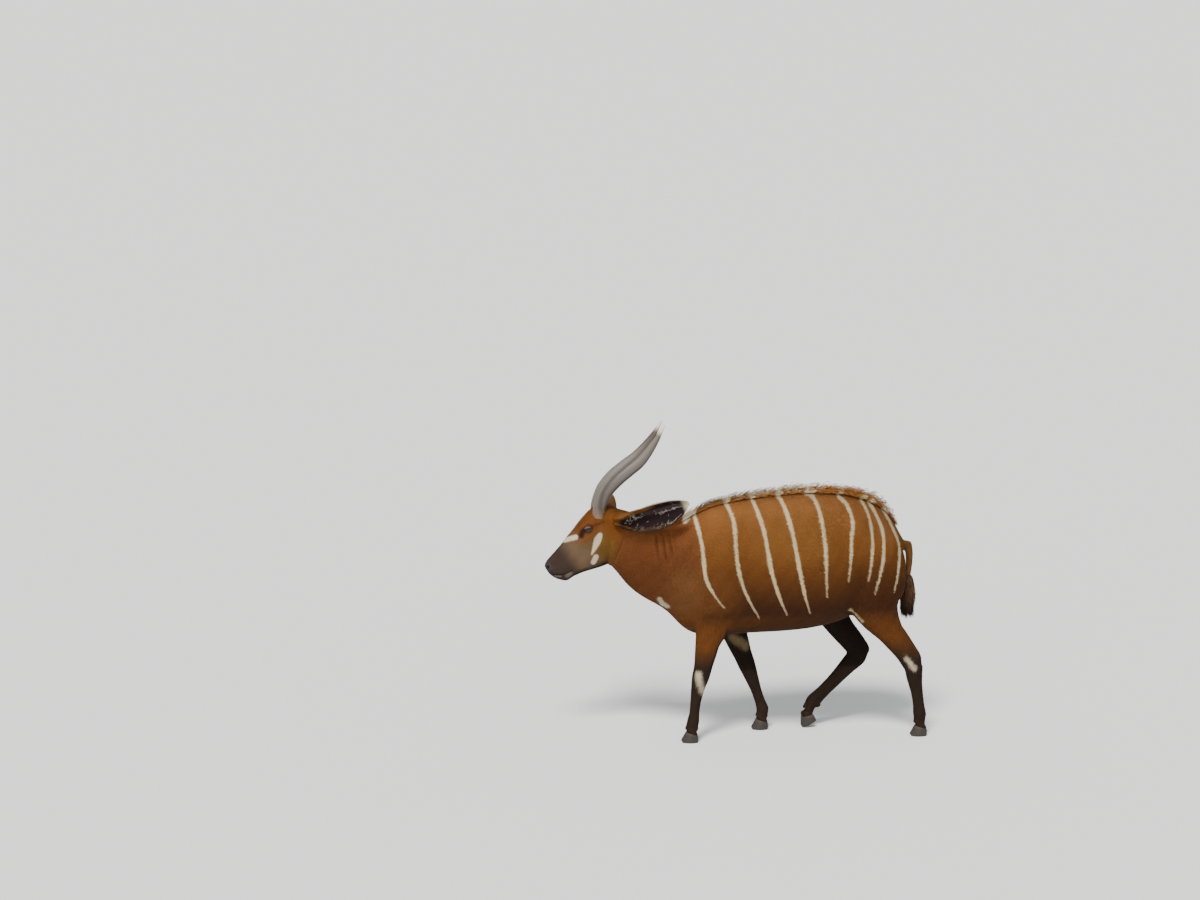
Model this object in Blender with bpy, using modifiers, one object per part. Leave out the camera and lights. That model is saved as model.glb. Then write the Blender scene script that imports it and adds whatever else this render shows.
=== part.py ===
"""A bongo antelope in mid stride, life size, as a still museum model.

Metres, +Z up. The animal walks towards -X, its left side is -Y, and it stands on the floor at z = 0.
The body is shaped whole: lofts through named sections are fused, swelled by muscle and bone, and
parted with thin cuts into named nodes. Ears and horns are fused on and parted at their roots, and the
mane and the tail's tuft are fused locks. Eyes are balls in sockets, between lids.
"""

import math
import random

import bmesh
import bpy
import numpy as np
from mathutils import Matrix, Vector
from mathutils.bvhtree import BVHTree

# Driving dimensions, in metres.
GAP = 0.0003                 # left between neighbouring nodes
VOXEL = 0.0045               # grid on which the lofts are fused
BODY_TRIANGLES = 3650        # of the fused body, before anything is added or cut
HEAD_DENSITY = 0.05         # how much denser the triangles of the head are kept
MIDDLE = Vector((-0.008, 0.0665, 0.0))  # middle of the posed animal's box, moved to the origin
RING = 28                    # points round a trunk or head section
LEG_RING = 14                # points round a leg section
SLEEVE_MARGIN = 0.015        # between a leg in the trunk and the cut round it
LEFT, RIGHT = -1, 1          # the sign of y on each side

# Trunk sections from the throat to the tail root:
# name, x, top, bottom, half width, height of the widest level.
TRUNK = [
    ("throat", -0.640, 1.118, 0.880, 0.052, 1.000),
    ("nape", -0.585, 1.130, 0.822, 0.070, 0.975),
    ("upper neck", -0.520, 1.113, 0.742, 0.082, 0.930),
    ("mid neck", -0.440, 1.080, 0.680, 0.093, 0.890),
    ("lower neck", -0.360, 1.056, 0.634, 0.108, 0.850),
    ("neck base", -0.290, 1.054, 0.575, 0.132, 0.820),
    ("shoulder point", -0.225, 1.086, 0.518, 0.158, 0.790),
    ("shoulder", -0.150, 1.122, 0.500, 0.180, 0.780),
    ("withers", -0.060, 1.146, 0.498, 0.198, 0.770),
    ("girth", 0.060, 1.164, 0.507, 0.222, 0.760),
    ("ribs", 0.200, 1.177, 0.512, 0.246, 0.760),
    ("barrel", 0.330, 1.184, 0.522, 0.254, 0.770),
    ("loin", 0.470, 1.176, 0.548, 0.238, 0.800),
    ("flank", 0.580, 1.154, 0.595, 0.205, 0.840),
    ("croup", 0.680, 1.110, 0.650, 0.175, 0.870),
    ("rump", 0.742, 1.052, 0.695, 0.140, 0.870),
    ("buttock", 0.782, 0.985, 0.735, 0.095, 0.860),
    ("tail root", 0.800, 0.935, 0.800, 0.045, 0.870),
]

# Head sections along its axis, which rises from the nose to the poll:
# name, distance from the nose, top, bottom, half width, height of the widest level, all from the axis.
NOSE = Vector((-0.915, 0.0, 0.850))
HEAD_PITCH = math.radians(33)
HEAD = [
    ("nose tip", -0.006, 0.008, -0.040, 0.020, -0.012),
    ("nostrils", 0.008, 0.022, -0.072, 0.033, -0.020),
    ("lips", 0.032, 0.032, -0.098, 0.039, -0.040),
    ("chin", 0.060, 0.039, -0.108, 0.041, -0.050),
    ("mouth corner", 0.092, 0.047, -0.112, 0.043, -0.045),
    ("nose bridge", 0.140, 0.060, -0.122, 0.049, -0.030),
    ("tear line", 0.190, 0.078, -0.138, 0.058, 0.000),
    ("brow front", 0.235, 0.092, -0.150, 0.067, 0.030),
    ("brow", 0.285, 0.108, -0.152, 0.071, 0.040),
    ("forehead", 0.335, 0.118, -0.142, 0.068, 0.035),
    ("crown", 0.385, 0.100, -0.125, 0.062, 0.020),
    ("poll", 0.430, 0.066, -0.100, 0.050, 0.000),
]

# Leg sections from the top down: name, x, distance from the midline, z, half depth, half width.
FORE_NEAR = [
    ("shoulder blade", -0.085, 0.085, 0.960, 0.060, 0.030),
    ("shoulder joint", -0.125, 0.110, 0.800, 0.105, 0.055),
    ("upper arm", -0.122, 0.122, 0.660, 0.102, 0.060),
    ("elbow", -0.136, 0.122, 0.560, 0.086, 0.056),
    ("forearm", -0.155, 0.118, 0.490, 0.064, 0.047),
    ("mid forearm", -0.166, 0.115, 0.425, 0.055, 0.040),
    ("above knee", -0.177, 0.113, 0.365, 0.047, 0.035),
    ("knee", -0.188, 0.112, 0.318, 0.045, 0.036),
    ("below knee", -0.200, 0.111, 0.270, 0.037, 0.029),
    ("cannon", -0.211, 0.110, 0.200, 0.029, 0.023),
    ("low cannon", -0.218, 0.110, 0.140, 0.028, 0.023),
    ("fetlock", -0.223, 0.110, 0.098, 0.033, 0.029),
    ("pastern", -0.231, 0.110, 0.077, 0.029, 0.028),
    ("hoof head", -0.237, 0.110, 0.056, 0.033, 0.033),
]
FORE_FAR = [
    ("shoulder blade", -0.080, 0.085, 0.960, 0.060, 0.030),
    ("shoulder joint", -0.105, 0.110, 0.800, 0.105, 0.055),
    ("upper arm", -0.070, 0.120, 0.660, 0.102, 0.060),
    ("elbow", -0.025, 0.116, 0.560, 0.086, 0.056),
    ("forearm", 0.002, 0.110, 0.490, 0.066, 0.047),
    ("mid forearm", 0.025, 0.106, 0.425, 0.056, 0.040),
    ("above knee", 0.048, 0.104, 0.365, 0.047, 0.035),
    ("knee", 0.067, 0.103, 0.316, 0.044, 0.036),
    ("below knee", 0.086, 0.102, 0.265, 0.037, 0.029),
    ("cannon", 0.111, 0.101, 0.195, 0.029, 0.023),
    ("low cannon", 0.130, 0.100, 0.138, 0.028, 0.023),
    ("fetlock", 0.143, 0.100, 0.098, 0.033, 0.029),
    ("pastern", 0.139, 0.100, 0.077, 0.029, 0.028),
    ("hoof head", 0.133, 0.100, 0.056, 0.033, 0.033),
]
HIND_UPPER_NEAR = [
    ("hip", 0.660, 0.075, 1.000, 0.105, 0.060),
    ("thigh head", 0.650, 0.112, 0.890, 0.148, 0.078),
    ("thigh", 0.652, 0.126, 0.770, 0.152, 0.080),
    ("stifle", 0.645, 0.134, 0.675, 0.135, 0.070),
    ("lower thigh", 0.668, 0.132, 0.605, 0.106, 0.058),
    ("gaskin", 0.712, 0.127, 0.535, 0.076, 0.048),
    ("mid gaskin", 0.754, 0.122, 0.470, 0.058, 0.040),
    ("above hock", 0.797, 0.119, 0.405, 0.047, 0.034),
    ("hock", 0.830, 0.117, 0.345, 0.042, 0.032),
]
HIND_LOWER_NEAR = [
    ("calf cord", 0.782, 0.123, 0.530, 0.017, 0.014),
    ("tendon", 0.824, 0.120, 0.466, 0.013, 0.012),
    ("point of hock", 0.858, 0.118, 0.402, 0.016, 0.015),
    ("heel bone", 0.856, 0.118, 0.380, 0.028, 0.022),
    ("hock", 0.842, 0.117, 0.350, 0.047, 0.035),
    ("below hock", 0.844, 0.116, 0.292, 0.042, 0.030),
    ("cannon", 0.856, 0.115, 0.225, 0.033, 0.025),
    ("low cannon", 0.866, 0.115, 0.155, 0.030, 0.024),
    ("fetlock", 0.872, 0.115, 0.107, 0.035, 0.030),
    ("pastern", 0.872, 0.115, 0.080, 0.030, 0.028),
    ("hoof head", 0.867, 0.115, 0.057, 0.033, 0.033),
]
HIND_UPPER_FAR = [
    ("hip", 0.630, 0.075, 0.980, 0.100, 0.060),
    ("thigh head", 0.595, 0.112, 0.885, 0.145, 0.078),
    ("thigh", 0.530, 0.126, 0.790, 0.150, 0.080),
    ("stifle", 0.465, 0.134, 0.700, 0.122, 0.072),
    ("lower thigh", 0.452, 0.132, 0.625, 0.098, 0.060),
    ("gaskin", 0.484, 0.127, 0.550, 0.078, 0.050),
    ("mid gaskin", 0.530, 0.122, 0.480, 0.065, 0.042),
    ("above hock", 0.578, 0.119, 0.415, 0.056, 0.035),
    ("hock", 0.615, 0.117, 0.360, 0.046, 0.032),
]
HIND_LOWER_FAR = [
    ("calf cord", 0.575, 0.123, 0.500, 0.017, 0.014),
    ("tendon", 0.622, 0.120, 0.440, 0.013, 0.012),
    ("point of hock", 0.652, 0.118, 0.383, 0.016, 0.015),
    ("heel bone", 0.640, 0.118, 0.368, 0.030, 0.022),
    ("hock", 0.608, 0.117, 0.345, 0.050, 0.035),
    ("below hock", 0.560, 0.116, 0.298, 0.044, 0.030),
    ("cannon", 0.502, 0.115, 0.236, 0.037, 0.025),
    ("low cannon", 0.436, 0.115, 0.170, 0.034, 0.024),
    ("fetlock", 0.392, 0.115, 0.128, 0.037, 0.030),
    ("pastern", 0.374, 0.115, 0.102, 0.030, 0.028),
    ("hoof head", 0.362, 0.115, 0.082, 0.033, 0.033),
]

# Muscles, bony points and hollows: name, centre with y to the side, reach, height over the skin.
BODY_FORMS = [
    ("shoulder blade", (-0.070, 0.170, 0.930), (0.060, 0.120, 0.150), 0.014),
    ("neck hollow", (-0.215, 0.130, 0.900), (0.050, 0.100, 0.120), -0.010),
    ("shoulder point", (-0.205, 0.150, 0.710), (0.070, 0.100, 0.080), 0.014),
    ("upper arm", (-0.090, 0.200, 0.690), (0.085, 0.100, 0.090), 0.014),
    ("behind the shoulder", (0.035, 0.210, 0.800), (0.045, 0.100, 0.150), -0.009),
    ("breast", (-0.250, 0.040, 0.580), (0.060, 0.070, 0.060), 0.006),
    ("flank hollow", (0.495, 0.210, 0.985), (0.060, 0.120, 0.060), -0.015),
    ("point of hip", (0.560, 0.160, 1.050), (0.042, 0.100, 0.036), 0.014),
    ("haunch", (0.665, 0.190, 0.870), (0.110, 0.100, 0.120), 0.010),
    ("between hip and haunch", (0.640, 0.180, 1.010), (0.040, 0.100, 0.035), -0.006),
    ("jaw to neck", (-0.560, 0.070, 0.960), (0.030, 0.060, 0.090), -0.007),
]
# The same on the head: name, centre as distance from the nose, side and rise, reach, height.
HEAD_FORMS = [
    ("brow", (0.268, 0.060, 0.086), (0.034, 0.030, 0.013), 0.006),
    ("tear hollow", (0.226, 0.058, 0.055), (0.020, 0.030, 0.016), -0.004),
    ("cheekbone", (0.235, 0.065, 0.022), (0.052, 0.040, 0.014), 0.003),
    ("jaw muscle", (0.290, 0.060, -0.055), (0.045, 0.060, 0.050), 0.007),
    ("hollow of the face", (0.165, 0.050, -0.030), (0.050, 0.050, 0.040), -0.004),
    ("nose bridge", (0.150, 0.000, 0.064), (0.080, 0.018, 0.020), 0.003),
    ("temple", (0.318, 0.060, 0.046), (0.020, 0.030, 0.020), -0.005),
    ("lip pad", (0.034, 0.040, -0.026), (0.026, 0.030, 0.018), 0.004),
    ("nostril wing", (0.010, 0.028, 0.006), (0.013, 0.020, 0.013), 0.004),
    ("chin", (0.048, 0.015, -0.108), (0.022, 0.030, 0.014), 0.004),
]

# Eyes: distance from the nose, side and rise of the centre, radius of the ball.
EYE = (0.2690, 0.0535, 0.0580)
EYE_RADIUS = 0.0175
EYE_ROUND = 12                       # facets round the ball
LID_REACH = math.radians(64)         # from the middle of the eye to each corner
LID_OPEN = (math.radians(30), math.radians(-25))  # of the upper and the lower lid, at the middle
LID_RADIUS = 0.0030
LID_THICKNESS = 0.0022

# The line of the mouth: distance from the nose and rise, from the front to the corner.
MOUTH = [(-0.004, -0.030), (0.010, -0.040), (0.028, -0.053), (0.055, -0.066), (0.076, -0.071), (0.094, -0.072)]
MOUTH_DEPTH = 0.005
MOUTH_HEIGHT = 0.0026
NOSTRIL = (0.0075, 0.0275, 0.0040)   # distance from the nose, side, rise
NOSTRIL_SIZE = (0.0125, 0.0070, 0.0050)

# Horn stations from the root: x, y to the side, z, half width.
HORN = [
    (-0.672, 0.038, 1.095, 0.027),
    (-0.668, 0.041, 1.130, 0.030),
    (-0.659, 0.044, 1.164, 0.031),
    (-0.635, 0.050, 1.218, 0.031),
    (-0.587, 0.058, 1.273, 0.030),
    (-0.528, 0.065, 1.321, 0.027),
    (-0.475, 0.069, 1.363, 0.024),
    (-0.432, 0.067, 1.414, 0.019),
    (-0.398, 0.060, 1.464, 0.014),
    (-0.374, 0.054, 1.505, 0.009),
    (-0.357, 0.050, 1.537, 0.004),
]
HORN_CUT = 0.08                      # of the way from the third station to the fourth
HORN_KEEL = 0.16                     # how far the keel stands out, as a share of the half width
HORN_TWIST = math.radians(200)       # turn of the keel from root to tip
HORN_RING = 12

# Ears: share of the length, half width, how far the edges curl round, thickness at the middle.
EAR = [
    (0.00, 0.024, 150, 0.012),
    (0.08, 0.030, 145, 0.010),
    (0.18, 0.043, 120, 0.008),
    (0.32, 0.060, 88, 0.006),
    (0.48, 0.071, 68, 0.005),
    (0.64, 0.070, 58, 0.005),
    (0.78, 0.058, 52, 0.004),
    (0.90, 0.038, 48, 0.004),
    (0.97, 0.018, 45, 0.003),
    (1.00, 0.006, 45, 0.002),
]
EAR_ROOT = (-0.592, 0.054, 1.092)    # with y to the side
EAR_BOW = (0.012, -0.022)            # how far its middle stands off the straight line, outwards and up
EAR_CUT = 0.13                       # share of the length at which ear and head are parted
EAR_ARC = 7                          # points on each face of a section
EARS = {                             # tip and the way that the cup faces, in full coordinates
    LEFT: (Vector((-0.255, -0.170, 1.184)), Vector((-0.20, -0.93, -0.25))),
    RIGHT: (Vector((-0.548, 0.385, 1.103)), Vector((-0.90, -0.15, -0.28))),
}

# Tail stations: x, z, half width. Its tuft starts at the last but one.
TAIL = [
    (0.762, 0.962, 0.032),
    (0.792, 0.948, 0.032),
    (0.817, 0.922, 0.028),
    (0.831, 0.885, 0.023),
    (0.834, 0.840, 0.020),
    (0.831, 0.785, 0.017),
    (0.827, 0.730, 0.015),
    (0.824, 0.690, 0.013),
]
TAIL_CUT = 2.75                      # station at which tail and torso are parted
TAIL_RING = 12

# Feet: leg, side, x of the middle of the sole, y to the side, how far the heel is lifted.
FEET = [
    ("fore", LEFT, -0.238, 0.110, 0),
    ("fore", RIGHT, 0.130, 0.100, 0),
    ("hind", LEFT, 0.868, 0.115, 0),
    ("hind", RIGHT, 0.378, 0.115, 28),
]
# Claw levels: height, toe and heel from the middle of the sole, distance from the cleft, half width.
CLAW = [
    (0.000, -0.040, 0.036, 0.0190, 0.0160),
    (0.010, -0.041, 0.038, 0.0190, 0.0172),
    (0.028, -0.031, 0.038, 0.0188, 0.0170),
    (0.044, -0.022, 0.035, 0.0182, 0.0162),
    (0.056, -0.016, 0.027, 0.0165, 0.0130),
    (0.068, -0.010, 0.018, 0.0140, 0.0090),
]
CLAW_RING = 12
CORONET = (0.005, 0.045, 14)         # middle of the cut from the middle of the sole, height, slope
DEWCLAW = (0.020, 0.017, 0.031)      # behind the fetlock's middle, to each side, and below it
DEWCLAW_SIZE = (0.016, 0.011, 0.015)

# Thin cuts between head and neck and between neck and torso: a point and the way across the cut.
NECK_CUT = (Vector((-0.562, 0, 0.985)), Vector((1.0, 0, -0.38)))
CHEST_CUT = (Vector((-0.235, 0, 0.800)), Vector((1.0, 0, -0.25)))

# The mane by node: x, height of the tips over the skin, half width of the ridge that it grows from.
MANE = {
    "neck": [(-0.500, 0.003, 0.010), (-0.455, 0.014, 0.011), (-0.300, 0.018, 0.011), (-0.215, 0.022, 0.011),
             (-0.188, 0.006, 0.009)],
    "torso": [(-0.145, 0.006, 0.010), (-0.110, 0.024, 0.013), (0.050, 0.030, 0.015), (0.350, 0.032, 0.015),
              (0.600, 0.036, 0.015), (0.710, 0.028, 0.012), (0.760, 0.006, 0.008)],
}

MANE_CORE = 0.42                     # height of that ridge, as a share of the tips' height
MANE_STEP = {"neck": 0.0265, "torso": 0.0235}  # from one lock to the next, which stands on the other side
MANE_LOCK = (0.051, 0.0075)          # width along the back and thickness, at the root
MANE_OFF = 0.0055                    # how far a lock's root stands off the midline
MANE_YAW = math.radians(11)          # turn of each lock, so that the rear one lies under the one before it
MANE_SWEEP = 1.75                    # how far a tip lies behind its root, in lock heights
# A lock's outline: share of its height, share of its width, share of its thickness.
LOCK_RINGS = [(-0.35, 0.80, 1.0), (0.20, 1.00, 1.0), (0.62, 0.70, 0.75), (1.0, 0.14, 0.25)]

# Tail tuft rows from the top: height of the roots, how many locks, their length, width, and bulge.
TUFT_ROWS = [(0.760, 4, 0.110, 0.026, 0.010), (0.702, 4, 0.142, 0.026, 0.009)]
TUFT_THICK = 0.007
SEED = 7

# Colour and roughness by the start of a node's name.
LOOKS = [
    ("eye", ((0.020, 0.013, 0.010), 0.08)),
    ("horn", ((0.160, 0.135, 0.115), 0.38)),
    ("hoof", ((0.030, 0.026, 0.024), 0.45)),
    ("ear", ((0.240, 0.090, 0.030), 0.80)),
    ("foreleg_left_lower", ((0.045, 0.030, 0.024), 0.75)),
    ("foreleg_right_lower", ((0.045, 0.030, 0.024), 0.75)),
    ("hindleg_left_lower", ((0.045, 0.030, 0.024), 0.75)),
    ("hindleg_right_lower", ((0.045, 0.030, 0.024), 0.75)),
    ("", ((0.300, 0.100, 0.028), 0.75)),
]


def clear_scene():
    for thing in list(bpy.data.objects):
        bpy.data.objects.remove(thing, do_unlink=True)


def collection(name):
    made = bpy.data.collections.new(name)
    bpy.context.scene.collection.children.link(made)
    return made


def material(name, colour, roughness):
    made = bpy.data.materials.new(name)
    made.use_nodes = True
    shader = made.node_tree.nodes["Principled BSDF"]
    shader.inputs["Base Color"].default_value = (*colour, 1.0)
    shader.inputs["Roughness"].default_value = roughness
    shader.inputs["Metallic"].default_value = 0.0
    return made


def eased(rows, steps):
    """Rows of numbers with steps rows in each stretch, along a Catmull-Rom curve."""
    out = []
    for i in range(len(rows) - 1):
        before = rows[max(i - 1, 0)]
        a, b = rows[i], rows[i + 1]
        after = rows[min(i + 2, len(rows) - 1)]
        for k in range(steps):
            t = k / steps
            out.append([
                q + 0.5 * t * (r - p + t * (2 * p - 5 * q + 4 * r - s + t * (3 * (q - r) + s - p)))
                for p, q, r, s in zip(before, a, b, after)
            ])
    out.append(list(rows[-1]))
    return out


def sized(stations):
    """The numbers of named sections, without their names."""
    return [list(row[1:]) for row in stations]


def new_object(name, mesh):
    made = bpy.data.objects.new(name, mesh)
    WORK.objects.link(made)
    return made


def loft(name, rings):
    """A closed solid through rings of equal count, with flat ends."""
    bm = bmesh.new()
    rows = [[bm.verts.new(p) for p in ring] for ring in rings]
    count = len(rings[0])
    for lower, upper in zip(rows, rows[1:]):
        for i in range(count):
            j = (i + 1) % count
            bm.faces.new((lower[i], lower[j], upper[j]))
            bm.faces.new((lower[i], upper[j], upper[i]))
    bm.faces.new(list(reversed(rows[0])))
    bm.faces.new(rows[-1])
    bmesh.ops.recalc_face_normals(bm, faces=bm.faces)
    mesh = bpy.data.meshes.new(name)
    bm.to_mesh(mesh)
    bm.free()
    return new_object(name, mesh)


def power(value, exponent):
    return math.copysign(abs(value) ** exponent, value)


def egg_ring(middle, across, up, half_width, top, bottom, square=2.15):
    """A section with its widest level at middle, reaching top above and bottom below it."""
    ring = []
    for i in range(RING):
        turn = 2 * math.pi * i / RING
        side = half_width * power(math.cos(turn), 2 / square)
        rise = (top if math.sin(turn) > 0 else bottom) * power(math.sin(turn), 2 / square)
        ring.append(middle + across * side + up * rise)
    return ring


def trunk():
    rings = []
    for x, top, bottom, half, widest in eased(sized(TRUNK), 3):
        rings.append(egg_ring(Vector((x, 0, widest)), Vector((0, 1, 0)), Vector((0, 0, 1)),
                              half, top - widest, widest - bottom))
    return loft("trunk", rings)


def head_point(along, side, rise):
    """A point by its distance from the nose, its place across and its height over the head's axis."""
    axis = Vector((math.cos(HEAD_PITCH), 0, math.sin(HEAD_PITCH)))
    up = Vector((-math.sin(HEAD_PITCH), 0, math.cos(HEAD_PITCH)))
    return NOSE + axis * along + Vector((0, 1, 0)) * side + up * rise


def head():
    up = head_point(0, 0, 1) - NOSE
    rings = []
    for along, top, bottom, half, widest in eased(sized(HEAD), 3):
        rings.append(egg_ring(head_point(along, 0, widest), Vector((0, 1, 0)), up,
                              half, top - widest, widest - bottom, 2.2))
    return loft("head_core", rings)


def limb_rings(stations, side, margin=0.0, steps=3):
    """Sections square to the limb's own line, each larger by a margin."""
    rows = eased(sized(stations), steps)
    points = [Vector((x, side * out, z)) for x, out, z, _, _ in rows]
    rings = []
    for i, (point, row) in enumerate(zip(points, rows)):
        run = (points[min(i + 1, len(points) - 1)] - points[max(i - 1, 0)]).normalized()
        across = Vector((0, 1, 0))
        fore = across.cross(run).normalized()
        across = run.cross(fore)
        rings.append([
            point + fore * (row[3] + margin) * math.cos(turn) + across * (row[4] + margin) * math.sin(turn)
            for turn in (2 * math.pi * k / LEG_RING for k in range(LEG_RING))
        ])
    return rings


def leg(name, stations, side):
    return loft(name, limb_rings(stations, side))


def ellipsoid(name, centre, axes, radii, around=24, along=14):
    """A ball stretched along three given axes."""
    bm = bmesh.new()
    bmesh.ops.create_uvsphere(bm, u_segments=around, v_segments=along, radius=1.0)
    turn = Matrix(axes).transposed().to_4x4()
    bm.transform(Matrix.Translation(centre) @ turn @ Matrix.Diagonal((*radii, 1.0)))
    bm.normal_update()
    bmesh.ops.recalc_face_normals(bm, faces=bm.faces)
    mesh = bpy.data.meshes.new(name)
    bm.to_mesh(mesh)
    bm.free()
    return new_object(name, mesh)


def world_axes():
    return Vector((1, 0, 0)), Vector((0, 1, 0)), Vector((0, 0, 1))


def head_axes():
    """Along the head, across it, and up from its axis."""
    return head_point(1, 0, 0) - NOSE, Vector((0, 1, 0)), head_point(0, 0, 1) - NOSE


def joined(name, objects):
    """One mesh object that holds all of these, still as overlapping shells."""
    bm = bmesh.new()
    for thing in objects:
        bm.from_mesh(thing.data)
    mesh = bpy.data.meshes.new(name)
    bm.to_mesh(mesh)
    bm.free()
    for thing in objects:
        bpy.data.objects.remove(thing, do_unlink=True)
    return new_object(name, mesh)


def applied(thing):
    """The object with its modifiers made part of its mesh."""
    graph = bpy.context.evaluated_depsgraph_get()
    mesh = bpy.data.meshes.new_from_object(thing.evaluated_get(graph))
    thing.modifiers.clear()
    thing.data = mesh
    return thing


def combined(thing, pieces, operation):
    """The object joined with all the pieces, or cut by them. The pieces are removed."""
    for piece in pieces:
        WORK.objects.unlink(piece)
        CUTTERS.objects.link(piece)
        piece.hide_render = True
        piece.display_type = "WIRE"
    boolean = thing.modifiers.new(operation.lower(), "BOOLEAN")
    boolean.operation = operation
    boolean.operand_type = "COLLECTION"
    boolean.collection = CUTTERS
    boolean.solver = "MANIFOLD"
    applied(thing)
    for piece in pieces:
        bpy.data.objects.remove(piece, do_unlink=True)
    return thing


def ramp(value, low, high):
    """0 at low, 1 at high, eased between."""
    t = min(max((value - low) / (high - low), 0.0), 1.0)
    return t * t * (3 - 2 * t)


def along_head(point):
    """How far a point lies behind the nose, along the head's axis."""
    return (point - NOSE).dot(head_axes()[0])


def softness(point):
    """How much the seams between lofts are eased here: fully on the trunk, hardly on face and feet."""
    off_legs = ramp(point.z, 0.40, 0.60)
    off_face = ramp(along_head(point), 0.33, 0.47) if point.x < -0.45 else 1.0
    return min(off_legs, off_face)


def coarseness(point):
    """0 where triangles are kept on the face and feet, 1 on the trunk."""
    face = ramp(along_head(point), 0.36, 0.50) if point.x < -0.45 else 1.0
    return 0.90 + 0.10 * min(face, ramp(point.z, 0.10, 0.40) * 0.6 + 0.4)


def weigh(body, name, rule):
    group = body.vertex_groups.new(name=name)
    for vertex in body.data.vertices:
        group.add([vertex.index], rule(vertex.co), "REPLACE")


def swell(body):
    """Pushes the skin out over muscle and bone, and in at the hollows."""
    forms = []
    for _, (x, out, z), reach, height in BODY_FORMS:
        for side in (LEFT, RIGHT):
            forms.append((Vector((x, side * out, z)), world_axes(), reach, height))
    for _, (along, out, rise), reach, height in HEAD_FORMS:
        for side in (LEFT, RIGHT) if out else (RIGHT,):
            forms.append((head_point(along, side * out, rise), head_axes(), reach, height))
    mesh = body.data
    points = np.empty(len(mesh.vertices) * 3)
    mesh.vertices.foreach_get("co", points)
    points = points.reshape(-1, 3)
    normals = np.empty(len(mesh.vertices) * 3)
    mesh.vertex_normals.foreach_get("vector", normals)
    push = np.zeros(len(points))
    for centre, axes, reach, height in forms:
        away = points - np.array(centre)
        far = sum((away @ np.array(axis) / size) ** 2 for axis, size in zip(axes, reach))
        push += height * np.exp(-far)
    points += normals.reshape(-1, 3) * push[:, None]
    mesh.vertices.foreach_set("co", points.ravel())
    mesh.update()


def fused_body():
    """All the lofts as one closed skin, with soft seams, shaped and then thinned to few triangles."""
    pieces = [trunk(), head()]
    pieces.append(leg("fore_near", FORE_NEAR, LEFT))
    pieces.append(leg("fore_far", FORE_FAR, RIGHT))
    pieces.append(leg("hind_upper_near", HIND_UPPER_NEAR, LEFT))
    pieces.append(leg("hind_lower_near", HIND_LOWER_NEAR, LEFT))
    pieces.append(leg("hind_upper_far", HIND_UPPER_FAR, RIGHT))
    pieces.append(leg("hind_lower_far", HIND_LOWER_FAR, RIGHT))
    body = joined("body", pieces)
    fuse = body.modifiers.new("fuse", "REMESH")
    fuse.mode = "VOXEL"
    fuse.voxel_size = VOXEL
    applied(body)
    weigh(body, "soft", softness)
    for name, turns, group in (("ease", 8, ""), ("ease_trunk", 90, "soft")):
        ease = body.modifiers.new(name, "SMOOTH")
        ease.factor = 0.5
        ease.iterations = turns
        ease.vertex_group = group
    applied(body)
    swell(body)
    weigh(body, "coarse", coarseness)
    thin = body.modifiers.new("thin", "DECIMATE")
    thin.ratio = BODY_TRIANGLES / (2 * len(body.data.polygons))
    thin.vertex_group = "coarse"
    thin.vertex_group_factor = HEAD_DENSITY
    applied(body)
    body.vertex_groups.clear()
    return body


def tube(name, points, radii, around=8):
    """A closed round tube through points, with its own radius at each."""
    rings = []
    for i, (point, radius) in enumerate(zip(points, radii)):
        run = (points[min(i + 1, len(points) - 1)] - points[max(i - 1, 0)]).normalized()
        first = run.orthogonal().normalized() if not rings else (last - run * last.dot(run)).normalized()
        last = first
        second = run.cross(first)
        rings.append([
            point + (first * math.cos(turn) + second * math.sin(turn)) * radius
            for turn in (2 * math.pi * k / around for k in range(around))
        ])
    return loft(name, rings)


def eye_axes(side):
    """Out of the eye, forward-to-back along its slit, and up."""
    along, across, up = head_axes()
    out = (across * side - along * 0.16 + up * 0.10).normalized()
    slit = along - up * 0.30
    slit = (slit - out * slit.dot(out)).normalized()
    return out, slit, slit.cross(out) * (1 if slit.cross(out).z > 0 else -1)


def eye_centre(side):
    along, out, rise = EYE
    return head_point(along, side * out, rise)


def lids(side):
    """An upper and a lower lid, bowed over the eyeball from corner to corner."""
    out, slit, up = eye_axes(side)
    made = []
    for name, lift in zip(("upper_lid", "lower_lid"), LID_OPEN):
        points, radii = [], []
        for i in range(9):
            u = i / 4 - 1
            turn, rise = u * LID_REACH, lift * (1 - u * u)
            way = out * math.cos(turn) * math.cos(rise) + slit * math.sin(turn) + up * math.sin(rise)
            points.append(eye_centre(side) + way * (EYE_RADIUS + 0.0012))
            radii.append(LID_RADIUS * (0.55 + 0.45 * (1 - u * u)))
        made.append(tube(name, points, radii, 5))
    return made


def eye_mound(side):
    """The flesh that the lids are cut from."""
    reach = EYE_RADIUS + LID_THICKNESS
    return ellipsoid("eye_mound", eye_centre(side), eye_axes(side), (reach, reach * 1.5, reach * 1.25), 14, 8)


def slit_cut(side):
    """The almond opening between the lids, from the ball outwards."""
    out, slit, up = eye_axes(side)
    rings = []
    for far in (0.4, 1.0, 1.6):
        ring = []
        for k in range(20):
            turn = 2 * math.pi * k / 20
            lift = LID_OPEN[0] if math.sin(turn) > 0 else -LID_OPEN[1]
            wide = math.sin(LID_REACH) * 0.92 * math.cos(turn)
            tall = math.sin(lift) * 0.75 * math.copysign(abs(math.sin(turn)) ** 1.25, math.sin(turn))
            ring.append(eye_centre(side) + (out * far + slit * wide + up * tall) * EYE_RADIUS)
        rings.append(ring)
    return loft("slit_cut", rings)


def eyeball(side):
    return ellipsoid("eye", eye_centre(side), eye_axes(side), (EYE_RADIUS,) * 3, EYE_ROUND, EYE_ROUND // 2)


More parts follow.
